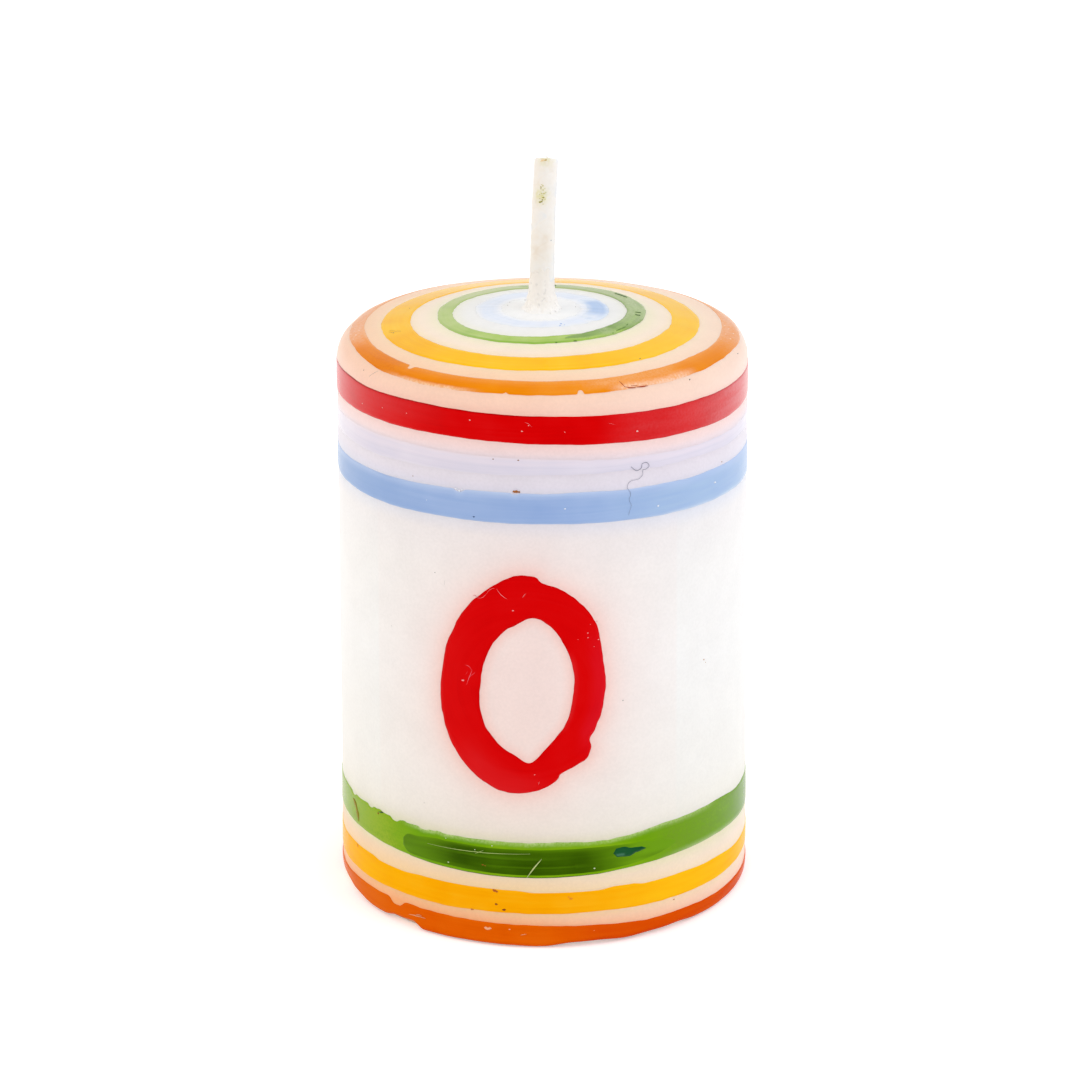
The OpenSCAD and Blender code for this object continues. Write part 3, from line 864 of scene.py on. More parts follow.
# The numeral as a ring of wax between its two outlines, with a rounded rim all round
def makeNumeral(n):
    angles, outer = reachAround(smoothLoop(n["outer"]), n["centre"], n["steps"])
    angles, inner = reachAround(smoothLoop(n["inner"]), n["centre"], n["steps"])
    loops, spaces, wearsAndLight = [], [], []
    for angle, near, far in zip(angles, inner, outer):
        ahead, aside, edges = math.cos(angle), math.sin(angle), []
        for edge in (near, far):
            spot = Vector((edge * ahead, edge * aside, 5)) * n["raggedWaves"]
            edges.append(edge + n["ragged"] * noise.noise(spot))
        near, far = edges
        loop = []
        for k in range(n["across"] + brushed["underSteps"]):
            v = shareAcross(k, n["across"])
            reach = near + (far - near) * v
            arc, p = n["centre"][0] + reach * ahead, n["centre"][1] + reach * aside
            lift = brushed["under"]
            if k <= n["across"]:
                gap = min(v, 1 - v) * (far - near)
                ripple = n["ripple"] * noise.noise(Vector((arc / n["rippleSize"], p / n["rippleSize"], 2)))
                lift = n["lift"] * (rimShape(gap, n["edgeRound"]) + ripple * min(gap, 1)) - n["sink"]
            loop.append(onCandle(p, math.degrees(arc / n["wallR"]), lift))
            # Patterns follow the stroke: across it is the short way
            spaces.append(Vector((n["strokeR"] * ahead, n["strokeR"] * aside, reach)))
            wearsAndLight.append(wearAndLightAt(n["wearAndLight"], math.degrees(angle), v, spaces[-1]))
        loops.append(loop)
    verts, faces = loopMesh(loops)
    paint = makeBrushedWax("brushed wax red numeral", **n["paint"])
    makePiece("brushed_numeral_zero", verts, faces, paint, ["numeral_zero"],
              {"brushSpace": spaces, "wearAndLight": wearsAndLight})


makeNumeral(numeral)
print("numeral painted")

# Orange foot: thick wax over the bottom edge, its lower rim lifted here and there off the table
orangeFoot = {
    "top": edgeLine(1.71, [(1, 0.2, 143), (2, 0.27, 129)], 0.05, 25, [(-39, 2.5, -0.5), (-33, 2, 0.06)]),
    "rim": knotLine([
        (-72, 0.64), (-60, 0.4), (-50, 0.16), (-45, 0.2), (-39, 0.5), (-33, 0.58), (-29, 0.06), (-10, 0.08),
        (6, 0.04), (14, 0.32), (20, 0.3), (29, 0.2), (44, 0.28), (60, 0.1), (75, 0.13), (100, 0.15),
        (130, 0.36), (160, 0.1), (190, 0.32), (220, 0.1), (250, 0.42), (270, 0.25),
    ]),
    "bulge": 0.2,          # mm that it swells in front
    "sideBulge": 0.03,
    "corner": 0.42,
    "wander": (0.05, 0.04),      # mm, of the rim's height and the swelling
    "lift": 0.07,
    "sink": 0.02,
    "edgeRound": 0.18,
    "inside": (0.05, 0.15, 0.12),    # how deep its hidden back lies in the wax, from the rim up
    "insideGap": 0.1,
    "step": 0.5,
    "rows": 12,
    "cornerRows": 6,
    "wearAndLight": [wornAndLit((16, 100), 20, "#da4a04", 0.8), wornAndLit((-85, -40), 20, "#e56c06", 0.7)],
    "paint": {"thin": "#e8690a", "full": "#e46002", "deep": "#db5400", "shine": 0.03},
}


def makeOrangeFoot(foot):
    wall, corner, lift = section["baseR"], foot["corner"], foot["lift"]
    loops, spaces, wearsAndLight = [], [], []
    for i in range(int(360 / foot["step"])):
        turn = i * foot["step"] - 180
        rim = max(foot["rim"](turn) + foot["wander"][0] * roundNoise(turn, waves=9, layer=3), 0.0)
        top = foot["top"](turn)
        facing = max(math.cos(math.radians(turn)), 0)
        swelling = foot["sideBulge"] + (foot["bulge"] - foot["sideBulge"]) * facing ** 2
        bulgeR = wall + swelling + foot["wander"][1] * roundNoise(turn, waves=6, layer=8)
        outside = []
        for k in range(foot["rows"] + 1):
            # Down the outside, from the brushed top edge to the fat bottom
            v = shareAcross(k, foot["rows"])
            z = top + (rim + corner - top) * v
            wallR = wall - z * math.tan(section["lean"])
            swell = lift * min(rimShape(top - z, foot["edgeRound"]), 1) + (bulgeR - wallR - lift) * v ** 2
            outside.append((wallR - foot["sink"] * (k == 0) + swell, z))
        for k in range(1, foot["cornerRows"] + 1):
            b = math.radians(90 * k / foot["cornerRows"])
            outside.append((bulgeR - corner + corner * math.cos(b), rim + corner - corner * math.sin(b)))
        under, low, high = foot["inside"]
        outside += [(wall - section["bevel"] + rim - under, rim),
                    (wall - low, max(rim, section["bevel"]) + foot["insideGap"]),
                    (wall - high, top - foot["insideGap"])]
        loops.append([turned(r, turn, z) * mm for r, z in outside])
        spaces += [brushSpace(z, turn) for r, z in outside]
        wearsAndLight += [wearAndLightAt(foot["wearAndLight"], turn, 0.5, brushSpace(z, turn)) for r, z in outside]
    verts, faces = loopMesh(loops)
    paint = makeBrushedWax("brushed wax orange foot", **foot["paint"])
    makePiece("brushed_orange_foot", verts, faces, paint, ["orange_foot"],
              {"brushSpace": spaces, "wearAndLight": wearsAndLight})


makeOrangeFoot(orangeFoot)
print("foot painted")

# Wick: three plies plaited flat and steeped in wax, which fills most of the grooves
wick = {
    "width": 2.06,
    "depth": 1.9,
    "free": 13.0,
    "foot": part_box("wick_ply_1")[0].z / mm,
    "inHole": 1.0,         # mm, its greatest radius in the candle
    "holeTop": 0.5,        # mm under the top, and that holds below it
    "sunk": 1,             # mm under the top, from where its shape is drawn finely
    "lean": 0.4,           # mm to the right at the tip, and to the back
    "leanBack": 0.1,
    "pitch": 6.0,
    "plyR": 0.16,          # in shares of the width
    "plySwing": 1.24,      # of the plies in and out, in their own radii
    "groove": (0.22, 0.004),     # mm wide and deep
    "waxFill": 0.96,
    "fullness": (1.025, 0.05),   # at the root, and how much less at the tip
    "bumps": [(0.02, 1.7), (0.012, 5), (0.012, 11)],     # mm high, and how many to a millimetre
    "sides": 72,
    "step": 0.08,
    "hiddenRows": 60,
    "slant": 0.3,          # mm that the cut end rises towards the front
    "cut": (0.4, 0.08, 0.1),     # mm that the uneven cut reaches down, its depth and how that wanders
    "tipRound": (0.25, 0.07),    # mm down and in
    "capRings": (0.7, 0.35),
    "capDip": 0.12,
    "capBumps": 3,         # to a millimetre
    "capMarks": (0.9, 0.3),      # groove and stain on the cut end
    "paleRimLight": (3.0, 6),  # painted rim light: how much whiter the plait is along its two sides that face left and right, and how narrowly
    "stains": [(-100, 10.0, 0.6), (-90, 13.4, 0.7)],     # angle, mm up and reach of yellow stains
    "stainLevels": (0.6, 0.8),   # even and patchy
    "stainPatches": 4,
}


# Radius of the wick at a height and an angle, and how far that lies in a groove between two plies
def wickShape(z, angle):
    w = wick
    plyR = w["plyR"] * w["width"]
    swingX, swingY = w["width"] / 2 - plyR, w["plySwing"] * plyR
    reaches = []
    for lead in (0, 120, 240):
        a = math.radians(360 * z / w["pitch"] + lead)
        aside, ahead = swingX * math.sin(a), swingY * math.sin(2 * a)
        reaches.append(aside * math.cos(angle) + ahead * math.sin(angle) + plyR)
    reaches.sort()
    groove = 1 - min((reaches[2] - reaches[1]) / w["groove"][0], 1)
    over = (z - section["height"]) / w["free"]
    wide, deep, (root, less) = w["width"] / 2, w["depth"] / 2, w["fullness"]
    full = wide * deep / math.hypot(deep * math.cos(angle), wide * math.sin(angle)) * (root - less * over)
    reach = w["waxFill"] * full + (1 - w["waxFill"]) * reaches[2] - w["groove"][1] * groove
    spot = Vector((math.cos(angle), math.sin(angle), z))
    return reach + sum(high * noise.noise(spot * often) for high, often in w["bumps"]), groove


def wickMiddle(z):
    over = max(z - section["height"], 0) / wick["free"]
    return Vector((wick["lean"] * over ** 2, wick["leanBack"] * over ** 2, z))


def stainAt(z, angle):
    level, often, (even, patchy) = 0, wick["stainPatches"], wick["stainLevels"]
    for at, rise, reach in wick["stains"]:
        arc = math.radians((math.degrees(angle) - at + 180) % 360 - 180)
        gap = math.hypot(arc, z - section["height"] - rise) / reach
        level += math.exp(-gap * gap) * (even + patchy * noise.noise(Vector((angle * often, z * often, 2))))
    return min(max(level, 0), 1)


# Plaited cotton primed with wax: cream, satin, with faint fibres along it and creamier grooves
def makeWickMaterial():
    material, tree = newMaterial("waxed cotton plait")
    # The groove mark also carries painted rim light: whiter along the plait's left and right sides
    groove = addNode(tree, "Attribute", attribute_name="groove")
    where = addNode(tree, "TexCoord")
    # Fibres of a tenth of a millimetre, drawn twice as coarse so that they show
    lengthwise = addNode(tree, "Mapping", {"Vector": where.outputs["Object"], "Scale": (5000, 5000, 900)})
    fibre = addNode(tree, "TexNoise", {"Vector": lengthwise.outputs["Vector"], "Scale": 1.0, "Detail": 3.0})
    # Creamier patches of about 1.4 mm, where less wax stayed on the cotton
    stain = addNode(tree, "TexNoise", {"Vector": where.outputs["Object"], "Scale": 700.0, "Detail": 2.0})
    mixed = addNode(tree, "Math", {0: groove.outputs["Fac"], 1: 0.1, 2: stain.outputs["Fac"]},
                    operation="MULTIPLY_ADD")
    colour = fillRamp(addNode(tree, "ValToRGB", {"Fac": mixed.outputs[0]}),
                      [(0.15, "#ebeef2"), (0.36, "#f7f4f1"), (0.6, "#f6f0e9"), (0.8, "#f1e7dc")])
    stained = addNode(tree, "Attribute", attribute_name="stain")
    tinted = addNode(tree, "Mix", {"Factor": stained.outputs["Fac"], 6: colour.outputs["Color"],
                                   7: toLinear("#dcd888")}, data_type="RGBA")
    relief = addNode(tree, "Math", {0: fibre.outputs["Fac"], 1: 0.8, 2: stain.outputs["Fac"]},
                     operation="MULTIPLY_ADD")
    bump = addNode(tree, "Bump", {"Height": relief.outputs[0], "Strength": 0.5, "Distance": 0.06 * mm})
    cotton = addNode(tree, "BsdfPrincipled", {
        "Base Color": tinted.outputs[2], "Roughness": 0.55, "IOR": 1.45,
        "Specular Tint": toLinear("#606060"), "Subsurface Weight": 0.08,
        "Subsurface Radius": (1.0, 0.95, 0.9), "Subsurface Scale": 0.5 * mm,
        "Normal": bump.outputs["Normal"],
    })
    addNode(tree, "OutputMaterial", {"Surface": cotton.outputs["BSDF"]})
    return material


def makeWick(w, material):
    top, size = section["height"], w["sides"]
    tip, sunk = top + w["free"], top - w["sunk"]
    rises = int((tip - top + w["sunk"]) / w["step"])
    heights = [w["foot"] + (sunk - w["foot"]) * i / w["hiddenRows"] for i in range(w["hiddenRows"])]
    heights += [sunk + (tip - top + w["sunk"]) * i / rises for i in range(rises + 1)]
    (roundDown, roundIn), (cutDown, cutDepth, cutWander) = w["tipRound"], w["cut"]
    loops, grooves, stains = [], [], []
    for z in heights:
        loop = []
        for k in range(size):
            angle = 2 * math.pi * k / size
            out = Vector((math.cos(angle), math.sin(angle), 0))
            reach, groove = wickShape(z, angle)
            if z < top - w["holeTop"]:
                reach = min(reach, w["inHole"])
            if z > tip - roundDown:
                reach -= roundIn * ((z - tip + roundDown) / roundDown) ** 2
            spot = wickMiddle(z) + out * reach
            if z > tip - cutDown:
                # Cut ends of the plies, a little uneven
                cut = cutDepth + cutWander * noise.noise(out * 2 + Vector((0, 0, 4)))
                spot.z -= (z - tip + cutDown) / cutDown * (cut + w["slant"] * math.sin(angle))
            loop.append(spot * mm)
            # Painted rim light along the left and right sides lowers the groove mark towards the bluish white
            grooves.append(groove - w["paleRimLight"][0] * math.cos(angle) ** w["paleRimLight"][1])
            stains.append(stainAt(z, angle))
        loops.append(loop)
    verts, faces = loopMesh(loops, joined=False)
    # The cut end closes in two rings round a small face, so that it is not one flat face
    faces.pop()
    outer, middle = len(verts) - size, wickMiddle(tip) * mm
    rim = verts[outer:]
    for share in w["capRings"]:
        inner = len(verts)
        for edge in rim:
            spot = middle.lerp(edge, share)
            dip = tip - w["capDip"] + w["capDip"] * noise.noise(spot / mm * w["capBumps"])
            spot.z = edge.z * share + dip * mm * (1 - share)
            verts.append(spot)
            grooves.append(w["capMarks"][0])
            stains.append(w["capMarks"][1])
        for k in range(size):
            n = (k + 1) % size
            faces.append((outer + k, outer + n, inner + n, inner + k))
        outer = inner
    faces.append(tuple(range(outer, len(verts))))
    makePiece("waxed_wick", verts, faces, material,
              ["wick_ply_1", "wick_ply_2", "wick_ply_3"], {"groove": grooves, "stain": stains})


# Strip of loops, with its ends capped, added to what a piece has already
def addStrip(verts, faces, loops):
    strip, quads = loopMesh(loops, joined=False)
    faces += [tuple(k + len(verts) for k in face) for face in quads]
    verts += strip


# A loose fibre is a thin thread along a row of points
thread = {
    "sides": 3,
    "taper": 0.6,
    "aside": (0.3, 0.5, 0.8),    # a way that no fibre runs
}


def addFibre(verts, faces, points, thick):
    loops, last = [], len(points) - 1
    turns = [2 * math.pi * k / thread["sides"] for k in range(thread["sides"])]
    for i, spot in enumerate(points):
        run = (points[min(i + 1, last)] - points[max(i - 1, 0)]).normalized()
        side = run.cross(Vector(thread["aside"])).normalized()
        up = run.cross(side)
        wide = thick * (1 - thread["taper"] * i / last)
        loops.append([(spot + (side * math.cos(b) + up * math.sin(b)) * wide) * mm for b in turns])
    addStrip(verts, faces, loops)


# Fuzz on the wick: fibres along it and a tuft on its cut end, in mm
fuzz = {
    "seed": 7,
    "along": {"count": 60, "length": (0.18, 0.42), "lean": (0.35, 0.9), "thick": 0.018},
    "tuft": {"count": 34, "length": (0.15, 0.34), "lean": (0.1, 0.7), "thick": 0.03},
    "ends": (1.5, 0.5),    # clear of the wax and of the tip
    "rooted": 0.03,
    "tuftDown": 0.2,
    "tuftWide": 0.9,       # of the wick's radius
    "curl": 0.12,          # of the length
    "curlWays": (1, 1, 0.3),
    "bow": 4,              # how much more it curls towards its end
    "points": (0, 0.35, 0.7, 1),
    "whisker": (-0.28, -0.05, 0.14),     # how it runs, and bends up
    "whiskerPoints": (0, 0.6, 1.2, 1.8),
    "whiskerRoot": (-0.85, -0.2, 0),
    "whiskerDown": 0.15,
    "whiskerThick": 0.04,
    "marks": (0.3, 0.0),   # groove and stain
}


def makeFibres(w, f, material):
    draw = random.Random(f["seed"])
    tip = section["height"] + w["free"]
    low, high = f["ends"][0], w["free"] - f["ends"][1]
    verts, faces = [], []
    for kind in [f["along"]] * f["along"]["count"] + [f["tuft"]] * f["tuft"]["count"]:
        atTip = kind is f["tuft"]
        angle = draw.uniform(0, 2 * math.pi)
        z = tip - f["tuftDown"] if atTip else section["height"] + draw.uniform(low, high)
        reach = wickShape(z, angle)[0]
        reach = reach * math.sqrt(draw.random()) * f["tuftWide"] if atTip else reach - f["rooted"]
        out = Vector((math.cos(angle), math.sin(angle), 0))
        root = wickMiddle(z) + out * reach
        length, lean = draw.uniform(*kind["length"]), draw.uniform(*kind["lean"])
        rise = (Vector((0, 0, 1 if atTip else draw.choice((-1, 1)))) + out * lean).normalized()
        curl = Vector([draw.uniform(-most, most) for most in f["curlWays"]]) * f["curl"] * length
        points = [root + rise * length * t + curl * t * t * f["bow"] for t in f["points"]]
        addFibre(verts, faces, points, kind["thick"])
    # One whisker stands out to the left of the cut end
    root = wickMiddle(tip - f["whiskerDown"]) + Vector(f["whiskerRoot"])
    x, y, up = f["whisker"]
    points = [root + Vector((x * t, y * t, up * t * t)) for t in f["whiskerPoints"]]
    addFibre(verts, faces, points, f["whiskerThick"])
    marks = {key: [mark] * len(verts) for key, mark in zip(("groove", "stain"), f["marks"])}
    makePiece("wick_fibres", verts, faces, material, (), marks)


cotton = makeWickMaterial()
makeWick(wick, cotton)
makeFibres(wick, fuzz, cotton)
print("wick plaited")

# Wax drawn up round the root of the wick, a little uneven all round
wickSeal = {
    "reach": 1.85,
    "rise": 3.6,           # mm that it thins out up the wick
    "hole": 0.9,
    "wall": 0.1,           # mm that it stays outside its hole
    "wander": (0.35, 0.6),       # mm, of its reach and its rise
    "powers": (1.75, 2.2),       # of its curve: thin and flat at the rim, then steep up the wick
    "sink": 0.03,
    "deep": 0.3,           # mm that its hidden inside goes down
    "innerReach": 0.6,     # of its width
    "segments": 220,
    "rows": 60,
    "rough": 0.1,
    "roughOut": 3,         # times that outwards
    "roughFrom": 4,        # how soon it starts from the rim
    "crumbs": [(1, 2.5), (0.6, 6), (0.3, 12)],   # share, and how many to a millimetre
    "colour": "#fefcf9",
    "upWick": "#fdf6ee",   # thinned out over the cotton
    "thinning": 1.6,       # how soon
    "specks": "#b4b0ae",
    "speckle": 0.42,
    "speckLevels": (0.36, 0.2),  # of the noise where specks start, and how soft they are
    "speckFade": 0.6,      # fewer up the wick
    "speckOften": 4,       # noise to a millimetre, and its offset
    "speckShift": (3, 1, 7),
}


def makeSeal(seal):
    loops, spaces, tints = [], [], []
    plain, thin, dark = (np.array(toLinear(seal[key])) for key in ("colour", "upWick", "specks"))
    material = makeWaxMaterial("dripped sealing wax", darkest=0.99, glow=0.1)
    top, domeR, hole, rough = section["height"], section["domeR"], seal["hole"], seal["rough"]
    speckStart, speckSoft = seal["speckLevels"]
    for i in range(seal["segments"]):
        turn = 360 * i / seal["segments"] - 180
        a = math.radians(turn)
        wide = seal["reach"] - hole + seal["wander"][0] * roundNoise(turn, waves=1.6, layer=1)
        high = seal["rise"] + seal["wander"][1] * roundNoise(turn, waves=2.2, layer=6)
        loop = []
        for k in range(seal["rows"] + 1):
            b = k / seal["rows"]
            r = hole + seal["wall"] + wide * (1 - b) ** seal["powers"][0]
            climb = high * b ** seal["powers"][1]
            dome = top - domeR + math.sqrt(domeR ** 2 - r ** 2)
            around = Vector((r * math.sin(a), r * math.cos(a), climb))
            crumb = sum(share * noise.noise(around * often) for share, often in seal["crumbs"])
            spotted = noise.noise(around * seal["speckOften"] + Vector(seal["speckShift"]))
            speck = easeStep((spotted - speckStart) / speckSoft)
            tone = plain + (thin - plain) * easeStep(seal["thinning"] * b)
            tints.append(tone + (dark - tone) * seal["speckle"] * speck * (1 - seal["speckFade"] * b))
            r += rough * crumb * b * (1 - b) * seal["roughOut"]
            z = dome - seal["sink"] + climb + rough * crumb * min(seal["roughFrom"] * b, 1) * (1 - b)
            loop.append(turned(r, turn, z) * mm)
        inside = [(hole, top + high - 2 * seal["sink"]), (hole, top - seal["deep"]),
                  (hole + wide * seal["innerReach"], top - seal["deep"])]
        loop += [turned(r, turn, z) * mm for r, z in inside]
        tints += [plain] * len(inside)
        loops.append(loop)
        spaces += [spot / mm for spot in loop]
    verts, faces = loopMesh(loops)
    makePiece("wick_sealing_wax", verts, faces, material, ["wick_seal"],
              {"tint": tints, "brushSpace": spaces})


makeSeal(wickSeal)
print("wick sealed")

# Stray flecks of wax and dirt on the candle: colour, lift off the wax, then turn, p and size of each
strayFlecks = [
    ("#ecb9b4", 0.05, [
        (-52.3, 45.55, 0.07), (-42.6, 45.95, 0.06), (-33.3, 46.1, 0.06), (-13.5, 46.45, 0.07),
        (0.8, 45.8, 0.08), (2.6, 46.3, 0.06), (32.5, 45.2, 0.1), (12.2, 45.7, 0.05),
    ]),
    ("#8a5a3a", 0.01, [
        (-7.1, 43.3, 0.08), (-0.3, 43.3, 0.09), (-31.4, 40.8, 0.06), (65.1, 40.3, 0.07),
        (-53.8, 48.3, 0.06),
    ]),
    ("#a4632c", 0.04, [(-1.3, 40.62, 0.13), (-0.7, 40.62, 0.14), (-0.1, 40.6, 0.1)]),
    ("#eef2f9", 0.05, [
        (12.2, 39.15, 0.09), (39, 38.45, 0.11), (61.3, 38.85, 0.14), (-26.8, 39.0, 0.06),
        (-16.7, 40.3, 0.1), (-17.6, 40.42, 0.09), (-15.9, 40.42, 0.07),
    ]),
    ("#3f5a86", 0.04, [(-12.6, 38.2, 0.1)]),
    ("#a9a4a0", 0.0, [(-24.4, 32.8, 0.07), (28.3, 21.9, 0.08), (-28.7, 11.9, 0.06), (-40, 27, 0.06)]),
    ("#c9a58c", 0.0, [(56.5, 23.5, 0.11), (57.2, 23.2, 0.07)]),
    ("#f0a0a0", 0.05, [
        (-1.9, 30.3, 0.09), (18.3, 28.25, 0.07), (18.3, 27.85, 0.06), (21.2, 27.6, 0.08),
        (15.6, 27.75, 0.05), (19.0, 29.0, 0.05), (20.8, 29.2, 0.05), (20.0, 27.0, 0.05), (3.8, 15.8, 0.06),
        (-16.0, 23.75, 0.12),
    ]),
    ("#dfe8c0", 0.08, [
        (-8.0, 9.15, 0.06), (20.0, 7.05, 0.08), (-12.9, 8.6, 0.05), (-20.8, 7.05, 0.06), (-21.5, 9.2, 0.05),
    ]),
    ("#8a3e0a", 0.05, [(-46.6, 9.3, 0.12), (-6.9, 3.82, 0.14), (-4.7, 3.36, 0.16)]),
    ("#b85c1e", 0.05, [(-7.4, 5.04, 0.15), (-6.8, 4.98, 0.12)]),
    ("#ec9418", 0.05, [(13.6, 4.45, 0.16), (12.9, 4.6, 0.1), (-59, 4.85, 0.16)]),
    ("#9a4a10", 0.05, [(-10.7, 7.3, 0.1), (-10.0, 7.25, 0.08)]),
    ("#f4b48c", 0.09, [(-9.6, 1.5, 0.2), (-8.9, 1.52, 0.16), (-3.2, 1.6, 0.08), (19.9, 1.35, 0.08)]),
    ("#cf7c40", 0.03, [(-13.9, 3.06, 0.13), (44.8, 2.6, 0.07)]), ("#5c7848", 0.1, [(178.7, 57.5, 0.11)]),
    ("#f8dcc4", 0.04, [
        (-78, 49.9, 0.1), (-80.5, 49.5, 0.09), (-82, 50.2, 0.1), (-75, 49.6, 0.08), (-85, 49.8, 0.08),
        (86, 49.6, 0.1), (89, 50.1, 0.09), (92, 49.5, 0.1), (95, 49.9, 0.09), (83, 50.3, 0.08),
        (98, 50.2, 0.08),
    ]),
    ("#5d8a2a", 0.06, [(14.2, 57.3, 0.1), (25.2, 57.36, 0.12), (51.7, 57.5, 0.12)]),
    ("#9ab6e2", 0.03, [(26.8, 61.3, 0.1), (24.0, 60.9, 0.08), (29, 61.0, 0.07)]),
    ("#b4aea8", 0.0, [
        (-144.5, 62.8, 0.1), (-120, 62.4, 0.1), (-104.3, 62.7, 0.09), (106.7, 62.9, 0.08), (60, 62.3, 0.08),
    ]),
    ("#3a3632", 0.0, [(51.9, 48.5, 0.08), (80.9, 48.4, 0.07)]),
    ("#a98a4a", 0.05, [(-70, 52.9, 0.1), (44, 52.6, 0.1), (-100, 54, 0.09)]),
]
# On the wick: colour, then angle, mm up and size of each
wickFlecks = [
    ("#a39c44", [
        (-105, 10.75, 0.1), (-104, 10.6, 0.09), (-90, 9.85, 0.11), (-107, 9.45, 0.12), (-97, 9.5, 0.13),
        (-94, 9.65, 0.1),
    ]),
    ("#cbc684", [
        (-86, 10.2, 0.1), (-98, 10.2, 0.09), (-110, 10.1, 0.08), (-84, 10.6, 0.08), (-95, 10.85, 0.1),
        (-90, 9.3, 0.07), (-108, 9.75, 0.08), (-80, 9.7, 0.08), (-92, 10.5, 0.09), (-78, 10.3, 0.08),
        (-101, 10.95, 0.07),
    ]),
    ("#cdb474", [(-88, 13.04, 0.11)]),
    ("#f2d6a8", [(-98, 13.06, 0.1), (-107, 13.0, 0.12), (-114, 12.9, 0.08)]),
    ("#b4b9c4", [(-38, 6.1, 0.09), (-60, 3.1, 0.05), (-120, 4.4, 0.05)]),
]
# A fleck is a low mound with a ragged outline
fleckShape = {
    "seed": 3,
    "points": 9,
    "ragged": (0.65, 1.25),
    "long": 1.25,          # along, in shares of its size
    "short": 0.85,
    "sink": 0.03,          # mm, of its rim
    "shoulder": 0.62,      # share of the way out, its height in shares of the size, and at most in mm
    "shoulderHigh": (0.35, 0.05),
    "middleHigh": (0.45, 0.06),
    "wickSink": 0.01,
}


def addFleck(verts, faces, tones, middle, right, up, size, tone, draw):
    f = fleckShape
    out = right.cross(up).normalized()
    start, count = len(verts), f["points"]
    for k in range(count):
        b = 2 * math.pi * k / count
        reach = size * draw.uniform(*f["ragged"])
        side = right * math.cos(b) * f["long"] + up * math.sin(b) * f["short"]
        verts.append(middle + side * reach * mm - out * f["sink"] * mm)
    high, most = f["shoulderHigh"]
    for k in range(count):
        verts.append(middle.lerp(verts[start + k], f["shoulder"]) + out * min(high * size, most) * mm)
    high, most = f["middleHigh"]
    verts.append(middle + out * min(high * size, most) * mm)
    for k in range(count):
        n = (k + 1) % count
        faces.append((start + k, start + n, start + count + n, start + count + k))
        faces.append((start + count + k, start + count + n, start + 2 * count))
    faces.append(tuple(range(start + count - 1, start - 1, -1)))
    tones += [toLinear(tone)] * (2 * count + 1)


# Crumbs of the same waxes and a little dirt, each in its own colour, dull beside the satin coats
def makeFleckMaterial():
    material, tree = newMaterial("crumbs of coloured wax")
    tone = addNode(tree, "Attribute", attribute_name="crumbTone")
    where = addNode(tree, "TexCoord")
    # Mottled at about a fifteenth of a millimetre
    mottle = addNode(tree, "TexNoise", {"Vector": where.outputs["Object"], "Scale": 15000.0, "Detail": 2.0})
    level = addNode(tree, "MapRange", {"Value": mottle.outputs["Fac"], "To Min": 0.8, "To Max": 1.15})
    shade = addNode(tree, "Mix", {"Factor": 1.0, 6: tone.outputs["Color"], 7: level.outputs["Result"]},
                    data_type="RGBA", blend_type="MULTIPLY")
    wax = addNode(tree, "BsdfPrincipled", {"Base Color": shade.outputs[2], "Roughness": 0.5, "IOR": 1.43,
                                           "Specular IOR Level": 0.25})
    addNode(tree, "OutputMaterial", {"Surface": wax.outputs["BSDF"]})
    return material


# Point on the wax with the directions to the right of it and up
def frameOnCandle(p, turn, lift):
    aside, ahead = 0.3, 0.1      # degrees and mm to the points that give the directions
    right = (onCandle(p, turn + aside, lift) - onCandle(p, turn - aside, lift)).normalized()
    up = (onCandle(p + ahead, turn, lift) - onCandle(p - ahead, turn, lift)).normalized()
    return onCandle(p, turn, lift), right, up


def makeFlecks(groups, onWick, material):
    draw = random.Random(fleckShape["seed"])
    verts, faces, tones = [], [], []
    for tone, lift, spots in groups:
        for turn, p, size in spots:
            addFleck(verts, faces, tones, *frameOnCandle(p, turn, lift), size, tone, draw)
    for tone, spots in onWick:
        for angle, rise, size in spots:
            z = section["height"] + rise
            a = math.radians(angle)
            out = Vector((math.cos(a), math.sin(a), 0))
            right, up = Vector((-out.y, out.x, 0)), Vector((0, 0, 1))
            middle = (wickMiddle(z) + out * (wickShape(z, a)[0] - fleckShape["wickSink"])) * mm
            addFleck(verts, faces, tones, middle, right, up, size, tone, draw)
    makePiece("stray_flecks", verts, faces, material, (), {"crumbTone": tones})
